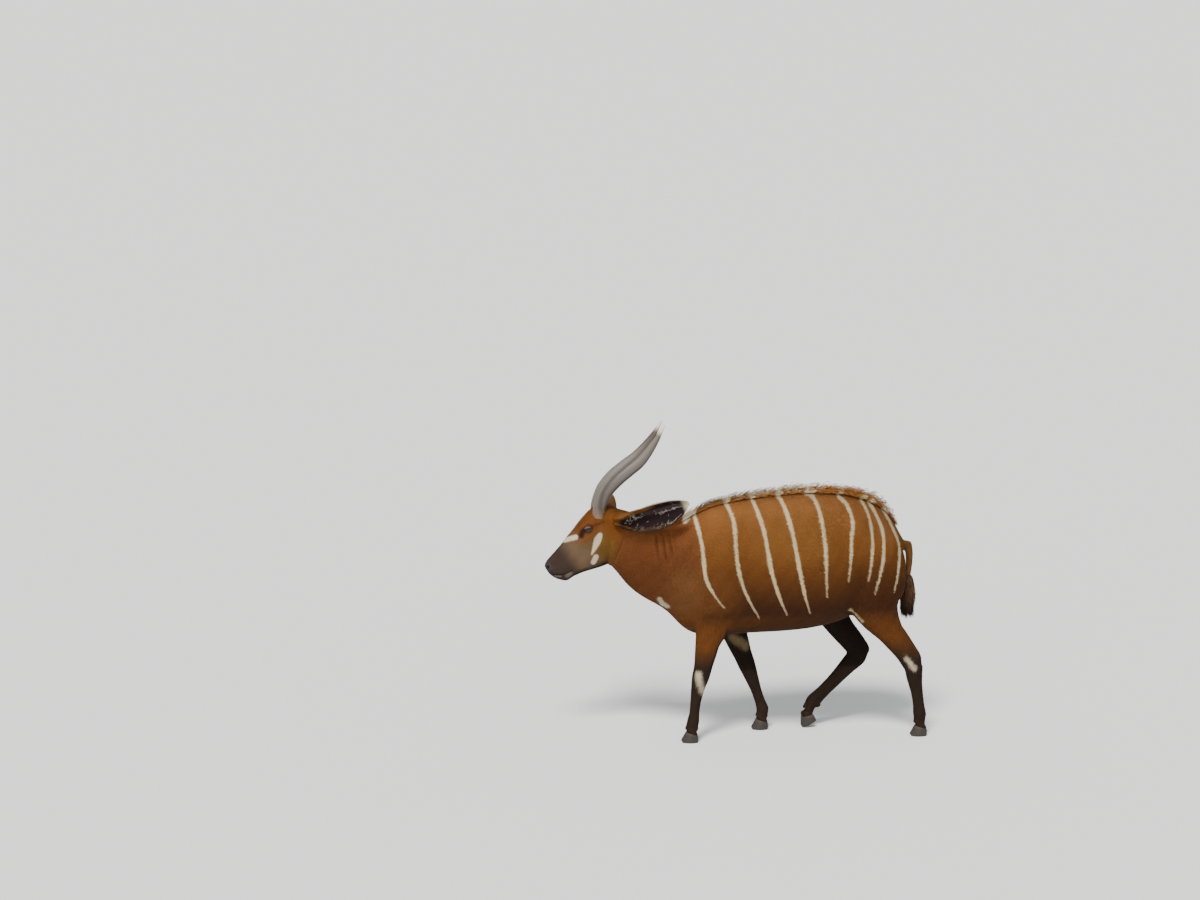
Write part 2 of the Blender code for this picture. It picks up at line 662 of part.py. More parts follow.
def head_half_width(along, rise):
    """Half the head's width at a distance from the nose and a height over the axis."""
    rows = eased(sized(HEAD), 3)
    row = min(rows, key=lambda r: abs(r[0] - along))
    _, top, bottom, half, widest = row
    reach = top - widest if rise > widest else widest - bottom
    share = min(abs(rise - widest) / reach, 0.98)
    return half * (1 - share ** 2.2) ** (1 / 2.2)


def mouth_cut():
    """A shallow groove round the muzzle, from one corner of the mouth to the other."""
    across, up = head_axes()[1:]
    rows = eased([list(row) for row in MOUTH], 2)
    line = []
    for side in (LEFT, RIGHT):
        half = []
        for i, (along, rise) in enumerate(rows):
            spread = head_half_width(max(along, 0.0), rise) * ramp(i, -1.5, 3.0)
            half.append(head_point(along, side * spread, rise))
        line += list(reversed(half)) if side == LEFT else half[0:]
    rings = []
    for i, point in enumerate(line):
        run = (line[min(i + 1, len(line) - 1)] - line[max(i - 1, 0)]).normalized()
        inward = run.cross(up).normalized()
        if inward.dot(head_point(0.12, 0, -0.06) - point) < 0:
            inward = -inward
        edge = min(i, len(line) - 1 - i)
        deep = MOUTH_DEPTH * ramp(edge, -2, 4)
        tall = MOUTH_HEIGHT * ramp(edge, -2, 3)
        rings.append([point - inward * 0.010 + up * tall, point + inward * deep + up * tall * 0.2,
                      point + inward * deep - up * tall * 0.2, point - inward * 0.010 - up * tall])
    return loft("mouth_cut", rings)


def nostril_cut(side):
    """A comma-shaped pit that runs back and in."""
    along, across, up = head_axes()
    back = (along * 0.75 + up * 0.35 + across * side * 0.55).normalized()
    inner = back.cross(up).normalized()
    spot = head_point(NOSTRIL[0], side * NOSTRIL[1], NOSTRIL[2])
    return ellipsoid("nostril_cut", spot, (back, inner, back.cross(inner)), NOSTRIL_SIZE, 10, 7)


def horn(side):
    """A horn on its curve, with one keel that winds round it."""
    rows = eased([list(row) for row in HORN], 2)
    points = [Vector((x, side * out, z)) for x, out, z, _ in rows]
    rings = []
    for i, (point, row) in enumerate(zip(points, rows)):
        run = (points[min(i + 1, len(points) - 1)] - points[max(i - 1, 0)]).normalized()
        fore = Vector((0, 1, 0)).cross(run).normalized()
        outer = run.cross(fore) * side
        keel = math.radians(60) + HORN_TWIST * i / (len(rows) - 1)
        ring = []
        for k in range(HORN_RING):
            turn = 2 * math.pi * k / HORN_RING
            near = math.cos((turn - keel) / 2) ** 12
            reach = row[3] * (1 + HORN_KEEL * near)
            ring.append(point + (fore * math.cos(turn) + outer * math.sin(turn) * 0.92) * reach)
        rings.append(ring)
    return loft("horn", rings)


def disc(name, centre, normal, radius):
    """A cut as thin as the gap between neighbours."""
    bm = bmesh.new()
    turn = Vector((0, 0, 1)).rotation_difference(normal).to_matrix().to_4x4()
    bmesh.ops.create_cone(bm, cap_ends=True, segments=32, radius1=radius, radius2=radius, depth=GAP,
                          matrix=Matrix.Translation(centre) @ turn)
    mesh = bpy.data.meshes.new(name)
    bm.to_mesh(mesh)
    bm.free()
    return new_object(name, mesh)


def horn_cut(side):
    a, b = (Vector((row[0], side * row[1], row[2])) for row in HORN[2:4])
    return disc("horn_cut", a.lerp(b, HORN_CUT), (b - a).normalized(), 0.042)


def ear_line(side, share):
    """A point of the ear's middle line."""
    root = Vector((EAR_ROOT[0], side * EAR_ROOT[1], EAR_ROOT[2]))
    tip = EARS[side][0]
    outwards, up = EAR_BOW
    return root.lerp(tip, share) + Vector((0, side * outwards, up)) * math.sin(math.pi * share)


def ear(side):
    """A cupped leaf: each section is an arc with an outer and an inner face."""
    facing = EARS[side][1].normalized()
    rings = []
    for share, half, curl, thick in eased([list(row) for row in EAR], 2):
        point = ear_line(side, share)
        run = (ear_line(side, share + 0.02) - ear_line(side, share - 0.02)).normalized()
        mouth = (facing - run * facing.dot(run)).normalized()
        edge = run.cross(mouth)
        reach = math.radians(curl)
        radius = half / math.sin(min(reach, math.pi / 2))
        inner_radius = radius - thick
        middle = point + mouth * radius * 0.78
        turns = [reach * (2 * k / (EAR_ARC - 1) - 1) for k in range(EAR_ARC)]
        outer = [middle + (edge * math.sin(t) - mouth * math.cos(t)) * radius for t in turns]
        inner = [middle + (edge * math.sin(t) - mouth * math.cos(t)) * inner_radius
                 for t in reversed([t * 0.97 for t in turns])]
        rings.append(outer + inner)
    return loft("ear", rings)


def ear_root(side):
    """The firm base of the ear, which carries it out of the head."""
    run = (ear_line(side, 0.2) - ear_line(side, 0.0)).normalized()
    points = [ear_line(side, 0.0) - run * 0.020 + Vector((0, -side * 0.012, 0)),
              ear_line(side, 0.05), ear_line(side, 0.13), ear_line(side, 0.20)]
    return tube("ear_root", points, (0.030, 0.029, 0.026, 0.016), 12)


def ear_cut(side):
    run = (ear_line(side, EAR_CUT + 0.05) - ear_line(side, EAR_CUT - 0.05)).normalized()
    return disc("ear_cut", ear_line(side, EAR_CUT), run, 0.10)


def tail():
    rows = eased([list(row) for row in TAIL], 2)
    points = [Vector((x, 0, z)) for x, z, _ in rows]
    return tube("tail", points, [row[2] for row in rows], TAIL_RING)


def tail_cut():
    low = int(TAIL_CUT)
    a, b = (Vector((row[0], 0, row[1])) for row in TAIL[low:low + 2])
    return disc("tail_cut", a.lerp(b, TAIL_CUT - low), (b - a).normalized(), 0.031)


def foot_place(foot):
    """How a foot's own frame, with the sole flat and its middle at the origin, is set on the floor."""
    _, side, x, out, lift = foot
    toe = Vector((CLAW[0][1], 0, 0))
    turn = Matrix.Rotation(-math.radians(lift), 4, "Y")
    sunk = -0.0025 if lift else 0.0
    return Matrix.Translation((x, side * out, sunk)) @ Matrix.Translation(toe) @ turn @ Matrix.Translation(-toe)


def claw(foot, half):
    """One of a foot's two claws, pointed at the toe, with a flat sole."""
    rings = []
    for height, toe, heel, out, width in CLAW:
        middle, length = (toe + heel) / 2, (heel - toe) / 2
        ring = []
        for k in range(CLAW_RING):
            turn = 2 * math.pi * k / CLAW_RING
            x = math.cos(turn)
            narrow = 1 - 0.42 * ramp(-x, 0.0, 1.1)
            y = half * (out + width * math.sin(turn) * narrow - 0.004 * ramp(-x, 0.2, 1.0))
            ring.append(foot_place(foot) @ Vector((middle + x * length, y, height)))
        rings.append(ring)
    return loft("claw", rings)


def coronet_cut(foot):
    back, height, slope = CORONET
    normal = Vector((math.sin(math.radians(slope)), 0, math.cos(math.radians(slope))))
    place = foot_place(foot)
    return disc("coronet_cut", place @ Vector((back, 0, height)), place.to_3x3() @ normal, 0.055)


def floor_cut():
    """Everything under the floor, so that a tilted toe rests on a small flat."""
    bm = bmesh.new()
    bmesh.ops.create_cube(bm, size=1.0, matrix=Matrix.Translation((0.3, 0, -0.1)) @ Matrix.Diagonal((2, 1, 0.2, 1)))
    mesh = bpy.data.meshes.new("floor_cut")
    bm.to_mesh(mesh)
    bm.free()
    return new_object("floor_cut", mesh)


def dewclaws(stations, side, lift=0):
    """The two small hooves behind a fetlock."""
    x, out, z = next(row[1:4] for row in stations if row[0] == "fetlock")
    turn = Matrix.Rotation(math.radians(20 - lift), 3, "Y")
    axes = tuple(turn @ axis for axis in world_axes())
    back, apart, low = DEWCLAW
    made = []
    for half in (-1, 1):
        spot = Vector((x, side * out + half * apart, z)) + turn @ Vector((back, 0, -low + 0.010))
        made.append(ellipsoid("dewclaw", spot, axes, DEWCLAW_SIZE, 7, 5))
    return made


def sleeve(name, stations, side, first, last):
    """A thin cup round a limb where it lies in the trunk, so that the leg is parted from it."""
    names = [row[0] for row in stations]
    part = stations[names.index(first):names.index(last) + 1]
    rings = limb_rings(part, side, SLEEVE_MARGIN, 1)
    run = Vector((part[-1][1] - part[-2][1], 0, part[-1][3] - part[-2][3])).normalized()
    core = loft("core", rings + [[point + run * 0.010 for point in rings[-1]]])
    inwards = [-vertex.normal * GAP for vertex in core.data.vertices]
    for vertex, move in zip(core.data.vertices, inwards):
        vertex.co += move
    return combined(loft(name, rings), [core], "DIFFERENCE")


def limb_cut(stations, side, share_from, share_to, share, radius):
    """A thin cut square to a limb, between two of its named sections."""
    rows = {row[0]: Vector((row[1], side * row[2], row[3])) for row in stations}
    a, b = rows[share_from], rows[share_to]
    return disc("limb_cut", a.lerp(b, share), (b - a).normalized(), radius)


def islands(thing):
    """The separate closed surfaces of an object, each as a new object, the largest first."""
    bm = bmesh.new()
    bm.from_mesh(thing.data)
    left = set(bm.verts)
    found = []
    while left:
        seed = left.pop()
        group, stack = {seed}, [seed]
        while stack:
            for edge in stack.pop().link_edges:
                for vertex in edge.verts:
                    if vertex not in group:
                        group.add(vertex)
                        stack.append(vertex)
        left -= group
        kept = {vertex.index for vertex in group}
        piece = bm.copy()
        bmesh.ops.delete(piece, geom=[v for v in piece.verts if v.index not in kept], context="VERTS")
        mesh = bpy.data.meshes.new("island")
        piece.to_mesh(mesh)
        found.append((piece.calc_volume(), mesh))
        piece.free()
    bm.free()
    bpy.data.objects.remove(thing, do_unlink=True)
    found.sort(key=lambda pair: -pair[0])
    return [new_object("island", mesh) for _, mesh in found]


def holds(tree, place):
    """Whether a closed surface has a point inside it: a ray from there crosses it an odd number of times."""
    way = Vector((0.31, 0.17, 0.93)).normalized()
    crossings = 0
    spot = tree.ray_cast(place, way)[0]
    while spot is not None and crossings < 60:
        crossings += 1
        spot = tree.ray_cast(spot + way * 1e-5, way)[0]
    return crossings % 2 == 1


def named(pieces, places):
    """Gives each place's name to the piece that holds it. What holds none is removed."""
    nodes = {}
    trees = {piece: tree_of(piece) for piece in pieces}
    for name, place in places.items():
        piece = next(key for key in trees if holds(trees[key], place))
        del trees[piece]
        piece.name = name
        nodes[name] = piece
    for scrap in trees:
        bpy.data.objects.remove(scrap, do_unlink=True)
    return nodes


def tree_of(thing):
    bm = bmesh.new()
    bm.from_mesh(thing.data)
    tree = BVHTree.FromBMesh(bm)
    bm.free()
    return tree


def largest(thing):
    """Only the largest closed surface of an object."""
    first, *rest = islands(thing)
    for scrap in rest:
        bpy.data.objects.remove(scrap, do_unlink=True)
    return first


def side_word(side):
    return "left" if side == LEFT else "right"


def body_nodes():
    """The fused body with claws, dewclaws, lids and tail, parted by thin cuts into named pieces."""
    limbs = {
        ("fore", LEFT): FORE_NEAR, ("fore", RIGHT): FORE_FAR,
        ("hind", LEFT): HIND_UPPER_NEAR, ("hind", RIGHT): HIND_UPPER_FAR,
    }
    lower = {
        ("fore", LEFT): FORE_NEAR, ("fore", RIGHT): FORE_FAR,
        ("hind", LEFT): HIND_LOWER_NEAR, ("hind", RIGHT): HIND_LOWER_FAR,
    }
    added = lids(LEFT) + lids(RIGHT) + [eye_mound(LEFT), eye_mound(RIGHT), tail()]
    cuts = [mouth_cut(), tail_cut(), floor_cut()]
    places = {"head": head_point(0.20, 0, -0.02), "neck": Vector((-0.38, 0, 0.86)),
              "torso": Vector((0.25, 0, 0.86)), "tail": Vector((0.828, 0, 0.79))}
    for side in (LEFT, RIGHT):
        cuts += [ellipsoid("socket", eye_centre(side), eye_axes(side), (EYE_RADIUS + GAP * 1.5,) * 3,
                           EYE_ROUND, EYE_ROUND // 2),
                 slit_cut(side), nostril_cut(side)]
    cuts.append(disc("neck_cut", NECK_CUT[0], NECK_CUT[1].normalized(), 0.22))
    cuts.append(disc("chest_cut", CHEST_CUT[0], CHEST_CUT[1].normalized(), 0.36))
    for foot in FEET:
        kind, side, x, out, lift = foot
        word = side_word(side)
        added += [claw(foot, half) for half in (-1, 1)] + dewclaws(lower[kind, side], side, lift)
        cuts.append(coronet_cut(foot))
        first, last = ("upper arm", "mid forearm") if kind == "fore" else ("thigh head", "mid gaskin")
        cuts.append(sleeve("sleeve", limbs[kind, side], side, first, last))
        low, high = ("knee", "below knee") if kind == "fore" else ("below hock", "cannon")
        cuts.append(limb_cut(lower[kind, side], side, low, high, 0.25, 0.070))
        rows = {row[0]: Vector((row[1], side * row[2], row[3])) for row in limbs[kind, side] + lower[kind, side]}
        places[f"{kind}leg_{word}_upper"] = rows["forearm" if kind == "fore" else "stifle"]
        places[f"{kind}leg_{word}_lower"] = rows["cannon"]
        for half, where in ((side, "outer"), (-side, "inner")):
            places[f"hoof_{kind}_{word}_{where}"] = foot_place(foot) @ Vector((0, half * 0.019, 0.022))
    body = combined(fused_body(), added, "UNION")
    return named(islands(combined(body, cuts, "DIFFERENCE")), places)


def head_nodes(head):
    """Head, ears and horns, grown together and parted at the roots."""
    added, cuts, places = [], [], {"head": head_point(0.20, 0, -0.02)}
    for side in (LEFT, RIGHT):
        word = side_word(side)
        added += [ear(side), ear_root(side), horn(side)]
        cuts += [ear_cut(side), horn_cut(side)]
        places["ear_" + word] = ear_line(side, 0.17)
        places["horn_" + word] = Vector((HORN[5][0], side * HORN[5][1], HORN[5][2]))
    return named(islands(combined(combined(head, added, "UNION"), cuts, "DIFFERENCE")), places)


def skin_top(surface, x, y=0.0):
    """The highest point of a surface at a place on the floor."""
    return surface.ray_cast(Vector((x, y, 3)), Vector((0, 0, -1)))[0]


def mane_core(stations, surface):
    """The low ridge of short hair that the mane's locks grow from."""
    rings = []
    for x, height, half in eased([list(row) for row in stations], 2):
        top = skin_top(surface, x)
        ring = []
        for turn in (2 * math.pi * k / 8 for k in range(8)):
            rise = MANE_CORE * height * math.sin(turn) if math.sin(turn) > 0 else 0.020 * math.sin(turn)
            ring.append(top + Vector((0, half * math.cos(turn), rise)))
        rings.append(ring)
    return loft("mane_core", rings)


def lock(path, wide, flat, width, thickness):
    """A flat, tapered lock along a path given for shares of its length, with its width and flat directions."""
    rings = []
    for share, broad, thick in LOCK_RINGS:
        side = wide * width * broad / 2
        face = flat * thickness * thick / 2
        middle = path(share)
        rings.append([middle - side, middle + face, middle + side, middle - face])
    return loft("lock", rings)


def mane_locks(stations, step, surface, rng):
    """Locks along the crest, left and right in turn, that stand up and sweep back over the next ones."""
    rows = eased([list(row) for row in stations], 6)
    made = []
    count = int((stations[-1][0] - stations[0][0] - MANE_LOCK[0]) / step)
    for k in range(count + 1):
        x = stations[0][0] + MANE_LOCK[0] / 2 + k * step
        height = min(rows, key=lambda row: abs(row[0] - x))[1] * rng.uniform(0.90, 1.04)
        side = LEFT if k % 2 else RIGHT
        root = skin_top(surface, x, side * MANE_OFF)
        sweep = MANE_SWEEP * rng.uniform(0.85, 1.15)
        along = (skin_top(surface, x + 0.012) - skin_top(surface, x - 0.012)).normalized()
        up = along.cross(Vector((0, 1, 0)))
        yaw = MANE_YAW * rng.uniform(0.7, 1.3)
        wide = along * math.cos(yaw) - Vector((0, side * math.sin(yaw), 0))

        def path(share, root=root, height=height, side=side, sweep=sweep, along=along, up=up):
            back = along * sweep * share * abs(share)
            return root + (up * share + back + Vector((0, side * 0.12 * share, 0))) * height

        made.append(lock(path, wide, wide.cross(up), *MANE_LOCK))
    return made


def tail_point(z):
    """The middle of the tail at a height, and its half width there."""
    rows = eased([list(row) for row in TAIL], 4)
    x, _, radius = min(rows, key=lambda row: abs(row[1] - z))
    return Vector((x, 0, z)), radius


def tuft_core():
    """The short hair inside the tail's tuft."""
    middle = tail_point(TAIL[-1][1])[0]
    points = [middle + Vector((0, 0, 0.03)), middle - Vector((0, 0, 0.015)), middle - Vector((0, 0, 0.065))]
    return tube("tuft_core", points, (0.010, 0.015, 0.003), 8)


def tuft_locks(rng):
    """Rings of locks round the tail's end, which hang down, bulge a little and draw together at the tip."""
    made = []
    for row, (z, count, length, width, bulge) in enumerate(TUFT_ROWS):
        middle, radius = tail_point(z)
        for k in range(count):
            turn = 2 * math.pi * (k + 0.5 * (row % 2)) / count
            out = Vector((math.cos(turn), math.sin(turn), 0))
            root = middle + out * radius * 0.78
            run = length * rng.uniform(0.90, 1.0)

            def path(share, root=root, out=out, run=run, bulge=bulge):
                spread = bulge * math.sin(math.pi * min(max(share, 0.0), 1.0) ** 0.8)
                drawn = -0.5 * radius * share * share if share > 0 else 0.0
                depth = share if share > 0 else share * 0.3
                return root + out * (spread + drawn) - Vector((0, 0, run * depth))

            made.append(lock(path, Vector((0, 0, 1)).cross(out), out, width, TUFT_THICK))
    return made


def finish(node, colour, roughness):
    """Gives a node its own material, smooth shading, and its place from the middle of the box."""
    mesh = node.data
    mesh.transform(Matrix.Translation(-MIDDLE))
    mesh.materials.clear()
    mesh.materials.append(material(node.name, colour, roughness))
    mesh.shade_smooth()
    mesh.set_sharp_from_angle(angle=math.radians(40))


def main():
    nodes = body_nodes()
    nodes.update(head_nodes(nodes.pop("head")))
    for side in (LEFT, RIGHT):
        ball = eyeball(side)
        ball.name = "eye_" + side_word(side)
        nodes[ball.name] = ball
    rng = random.Random(SEED)
    grown = {"tail": [tuft_core()] + tuft_locks(rng)}
    for name, stations in MANE.items():
        surface = tree_of(nodes[name])
        grown[name] = [mane_core(stations, surface)] + mane_locks(stations, MANE_STEP[name], surface, rng)
    for name, pieces in grown.items():
        nodes[name] = largest(combined(nodes[name], pieces, "UNION"))
        nodes[name].name = name
    for name, node in nodes.items():
        colour, roughness = next(look for key, look in LOOKS if name.startswith(key))
        finish(node, colour, roughness)


clear_scene()
WORK = collection("bongo")
CUTTERS = collection("cutters")
CUTTERS.hide_render = True
main()
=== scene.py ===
import math
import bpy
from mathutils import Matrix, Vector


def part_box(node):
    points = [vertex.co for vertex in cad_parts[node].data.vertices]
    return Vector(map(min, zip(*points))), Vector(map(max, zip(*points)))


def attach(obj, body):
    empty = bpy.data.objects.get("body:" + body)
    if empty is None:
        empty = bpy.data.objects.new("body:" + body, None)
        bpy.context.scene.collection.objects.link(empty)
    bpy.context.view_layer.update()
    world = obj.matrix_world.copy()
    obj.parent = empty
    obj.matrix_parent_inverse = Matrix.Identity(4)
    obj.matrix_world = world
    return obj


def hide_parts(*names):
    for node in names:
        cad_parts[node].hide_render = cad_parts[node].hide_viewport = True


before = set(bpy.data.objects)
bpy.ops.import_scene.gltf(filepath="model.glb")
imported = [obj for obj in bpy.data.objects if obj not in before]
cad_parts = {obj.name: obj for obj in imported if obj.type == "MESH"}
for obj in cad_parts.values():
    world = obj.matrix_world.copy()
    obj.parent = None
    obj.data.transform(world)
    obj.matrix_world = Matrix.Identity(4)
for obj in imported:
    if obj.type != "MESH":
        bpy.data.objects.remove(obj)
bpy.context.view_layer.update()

from types import SimpleNamespace
import bmesh
import bpy
import numpy as np
from mathutils import Vector

scene = bpy.context.scene
middle = Vector((-0.008, 0.0665, 0.0))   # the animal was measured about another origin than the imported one
middleRow = np.array(middle)
sides = {"left": -1, "right": 1}
print("frame loaded")


# tools for numbers

def ramp(value, low, high):   # 0 up to low, 1 from high on, smooth in between
    t = np.clip((value - low) / (high - low), 0, 1)
    return t * t * (3 - 2 * t)


def fade(value, low, high):   # 1 up to low, 0 from high on
    return 1 - ramp(value, low, high)


def band(value, low, first, last, high):   # 1 between first and last, 0 outside low and high
    return ramp(value, low, first) * fade(value, last, high)


def between(values, places, table):   # the table's rows at its places, and mixed between them
    return np.column_stack([np.interp(values, places, column) for column in np.array(table).T])


def eased(rows, steps):   # rows of numbers with more of them in between, on a Catmull-Rom curve
    out = []
    for i in range(len(rows) - 1):
        p, q, r, s = (np.array(rows[min(max(i + k, 0), len(rows) - 1)], float) for k in (-1, 0, 1, 2))
        for k in range(steps):
            t = k / steps
            out.append(q + 0.5 * t * (r - p + t * (2 * p - 5 * q + 4 * r - s + t * (3 * (q - r) + s - p))))
    out.append(np.array(rows[-1], float))
    return np.array(out)


def unit(rows):
    return rows / np.maximum(np.linalg.norm(rows, axis=-1, keepdims=True), 1e-9)


def squareTo(rows, axes):   # what of the rows doesn't run along the axes, at length 1
    rows = np.asarray(rows, float)
    return unit(rows - axes * np.sum(rows * axes, axis=-1, keepdims=True))


def around(first, second, count):   # a circle of ways
    turns = np.arange(count) * 2 * math.pi / count
    return np.cos(turns)[:, None] * first + np.sin(turns)[:, None] * second


def lineDistance(points, line):   # of every point to a line of points, in as many numbers as it has
    line = np.asarray(line, float)
    best = np.full(len(points), 9.0)
    share = np.zeros(len(points))
    for i in range(len(line) - 1):
        a, b = line[i], line[i + 1]
        run = b - a
        t = np.clip((points - a) @ run / (run @ run), 0, 1)
        reach = np.linalg.norm(points - (a + t[:, None] * run), axis=1)
        near = reach < best
        best[near] = reach[near]
        share[near] = (i + t[near]) / (len(line) - 1)
    return best, share


# tools for meshes

def readRows(items, key, width, kind=np.float32):
    rows = np.empty(len(items) * width, kind)
    items.foreach_get(key, rows)
    return rows.reshape(-1, width)


def meshArrays(mesh):
    return [readRows(mesh.vertices, key, 3).astype(float) for key in ("co", "normal")]


def setPoints(mesh, points):
    mesh.vertices.foreach_set("co", points.astype(np.float32).ravel())
    mesh.update()


layerKinds = {1: ("FLOAT", "value"), 3: ("FLOAT_VECTOR", "vector"), 4: ("FLOAT_COLOR", "color")}


def addLayer(mesh, name, rows):   # one number, vector or colour for each point
    rows = np.asarray(rows, np.float32).reshape(len(mesh.vertices), -1)
    kind, key = layerKinds[rows.shape[1]]
    mesh.attributes.new(name, kind, "POINT").data.foreach_set(key, rows.ravel())


def addColours(mesh, name, colours):
    addLayer(mesh, name, np.column_stack([colours, np.ones(len(colours))]))


def addObject(name, data):
    obj = bpy.data.objects.new(name, data)
    scene.collection.objects.link(obj)
    return obj


def meshFrom(name, points, faces):
    mesh = bpy.data.meshes.new(name)
    mesh.from_pydata([tuple(p) for p in points], [], [tuple(f) for f in faces])
    mesh.update()
    return mesh


def meshOf(bm, name):
    mesh = bpy.data.meshes.new(name)
    bm.to_mesh(mesh)
    bm.free()
    return mesh


def addGrid(obj, size):
    remesh = obj.modifiers.new("grid", "REMESH")
    remesh.mode = "VOXEL"
    remesh.voxel_size = size


def addThin(obj, triangles):
    thin = obj.modifiers.new("thin", "DECIMATE")
    thin.ratio = min(1.0, triangles / (2 * len(obj.data.polygons)))
    return thin


def shaded(obj):   # the object's mesh with its modifiers in it, as a new plain mesh
    graph = bpy.context.evaluated_depsgraph_get()
    mesh = bpy.data.meshes.new_from_object(obj.evaluated_get(graph), preserve_all_data_layers=True,
                                           depsgraph=graph)
    old = obj.data
    obj.modifiers.clear()
    obj.data = mesh
    if old.users == 0:
        bpy.data.meshes.remove(old)
    return mesh


def ring(points, faces, rows):   # joins rings of equal length into a closed tube
    start = len(points)
    count = len(rows[0])
    for row in rows:
        points.extend(row)
    for i in range(len(rows) - 1):
        for k in range(count):
            a = start + i * count + k
            b = start + i * count + (k + 1) % count
            faces.append((a, b, b + count, a + count))
    faces.append(tuple(start + k for k in reversed(range(count))))
    faces.append(tuple(start + (len(rows) - 1) * count + k for k in range(count)))


def outward(mesh):
    bm = bmesh.new()
    bm.from_mesh(mesh)
    bmesh.ops.remove_doubles(bm, verts=bm.verts, dist=1e-6)
    bmesh.ops.recalc_face_normals(bm, faces=bm.faces)
    bm.to_mesh(mesh)
    bm.free()
    mesh.shade_smooth()


# camera, floor and light

photo = {"metresPerPoint": 0.0048, "azimuth": -7, "elevation": 12, "distance": 30.0, "centre": (736, 734.6),
         "size": (1200, 900), "sensor": 36}
light = {"suns": {"key": (4.6, 16, (34, -14, 0)), "fill": (1.5, 60, (66, 20, -20))},   # strength, width, turn
         "sky": (0.93, 0.96, 1.0, 1), "skyStrength": 0.62, "floor": (0.8, 0.79, 0.77, 1), "floorReach": 60}


def setCamera():
    azimuth, elevation = math.radians(photo["azimuth"]), math.radians(photo["elevation"])
    back = Vector((math.sin(azimuth) * math.cos(elevation), -math.cos(azimuth) * math.cos(elevation),
                   math.sin(elevation)))
    right = Vector((math.cos(azimuth), math.sin(azimuth), 0))
    up = back.cross(right)
    size = photo["metresPerPoint"]
    wide, high = photo["size"]
    x, y = photo["centre"]
    target = -right * ((x - wide / 2) * size) + up * ((y - high / 2) * size)
    camera = addObject("camera", bpy.data.cameras.new("camera"))
    camera.data.sensor_width = photo["sensor"]
    camera.data.lens = photo["sensor"] / size * photo["distance"] / wide
    camera.data.clip_end = 200
    camera.location = target + back * photo["distance"] - middle
    camera.rotation_euler = (-back).to_track_quat("-Z", "Y").to_euler()
    scene.camera = camera


def setStage():
    scene.world = bpy.data.worlds.new("studio")
    scene.world.use_nodes = True
    sky = scene.world.node_tree.nodes["Background"].inputs
    sky["Color"].default_value = light["sky"]
    sky["Strength"].default_value = light["skyStrength"]
    for name, (strength, width, turn) in light["suns"].items():
        sun = addObject(name, bpy.data.lights.new(name, "SUN"))
        sun.data.energy = strength
        sun.data.angle = math.radians(width)
        sun.rotation_euler = [math.radians(t) for t in turn]
    far = light["floorReach"]
    corners = [(-far, -far, 0), (far, -far, 0), (far, far, 0), (-far, far, 0)]
    floor = addObject("floor", meshFrom("floor", corners, [(0, 1, 2, 3)]))
    material = bpy.data.materials.new("floor")
    material.use_nodes = True
    shader = material.node_tree.nodes["Principled BSDF"].inputs
    shader["Base Color"].default_value = light["floor"]
    shader["Roughness"].default_value = 0.9
    floor.data.materials.append(material)


setCamera()
setStage()
print("camera and light set")


# the head's and the ears' own frames, as in the solids

headFrame = {"nose": (-0.915, 0.0, 0.85), "pitch": 33}
earFrame = {
    "root": (-0.592, 0.054, 1.092), "bow": (0.012, -0.022),
    "left": {"tip": (-0.255, -0.17, 1.184), "facing": (-0.2, -0.93, -0.25)},
    "right": {"tip": (-0.548, 0.385, 1.103), "facing": (-0.9, -0.15, -0.28)},
    "shares": (0, 0.08, 0.18, 0.32, 0.48, 0.64, 0.78, 0.9, 0.97, 1),
    "halves": (0.024, 0.03, 0.043, 0.06, 0.071, 0.07, 0.058, 0.038, 0.018, 0.006),
}
pitch = math.radians(headFrame["pitch"])
noseRow = np.array(headFrame["nose"])
axisRow = np.array((math.cos(pitch), 0, math.sin(pitch)))
riseRow = np.array((-math.sin(pitch), 0, math.cos(pitch)))
trunkTop = eased([(-0.64, 1.118), (-0.585, 1.13), (-0.52, 1.113), (-0.44, 1.08), (-0.36, 1.056),
                  (-0.29, 1.054), (-0.225, 1.086), (-0.15, 1.122), (-0.06, 1.146), (0.06, 1.164),
                  (0.2, 1.177), (0.33, 1.184), (0.47, 1.176), (0.58, 1.154), (0.68, 1.11),
                  (0.742, 1.052), (0.782, 0.985), (0.8, 0.935)], 4)
tailLine = eased([(0.762, 0.962), (0.792, 0.948), (0.817, 0.922), (0.831, 0.885), (0.834, 0.84), (0.831, 0.785),
                  (0.827, 0.73), (0.824, 0.69)], 3)


def headPlace(along, out, rise):
    return noseRow + axisRow * along + np.array((0, 1, 0)) * out + riseRow * rise


def earPoint(side, share):
    root = np.array((earFrame["root"][0], sides[side] * earFrame["root"][1], earFrame["root"][2]))
    tip = np.array(earFrame[side]["tip"])
    outwards, up = earFrame["bow"]
    bow = np.array((0, sides[side] * outwards, up)) * math.sin(math.pi * share)
    return root + (tip - root) * share + bow


def trunkAt(x):
    return np.interp(x, trunkTop[:, 0], trunkTop[:, 1])


def tailAt(z):
    return np.interp(-z, -tailLine[:, 1], tailLine[:, 0])


def earParts(rows, side):   # how far along and across the ear the rows are, which are near it, and its own ways
    line = np.array([earPoint(side, k / 12) for k in range(13)])
    reach, share = lineDistance(rows, line)
    run = unit(line[-1] - line[0])
    mouth = squareTo(earFrame[side]["facing"], run)
    edge = np.cross(run, mouth)
    half = np.interp(share, earFrame["shares"], earFrame["halves"])
    across = (rows - between(share, np.linspace(0, 1, 13), line)) @ edge / half
    return SimpleNamespace(share=share, across=across, upper=across * np.sign(edge[2]), run=run, edge=edge,
                           mouth=mouth, near=reach < half * 1.25 + 0.014)


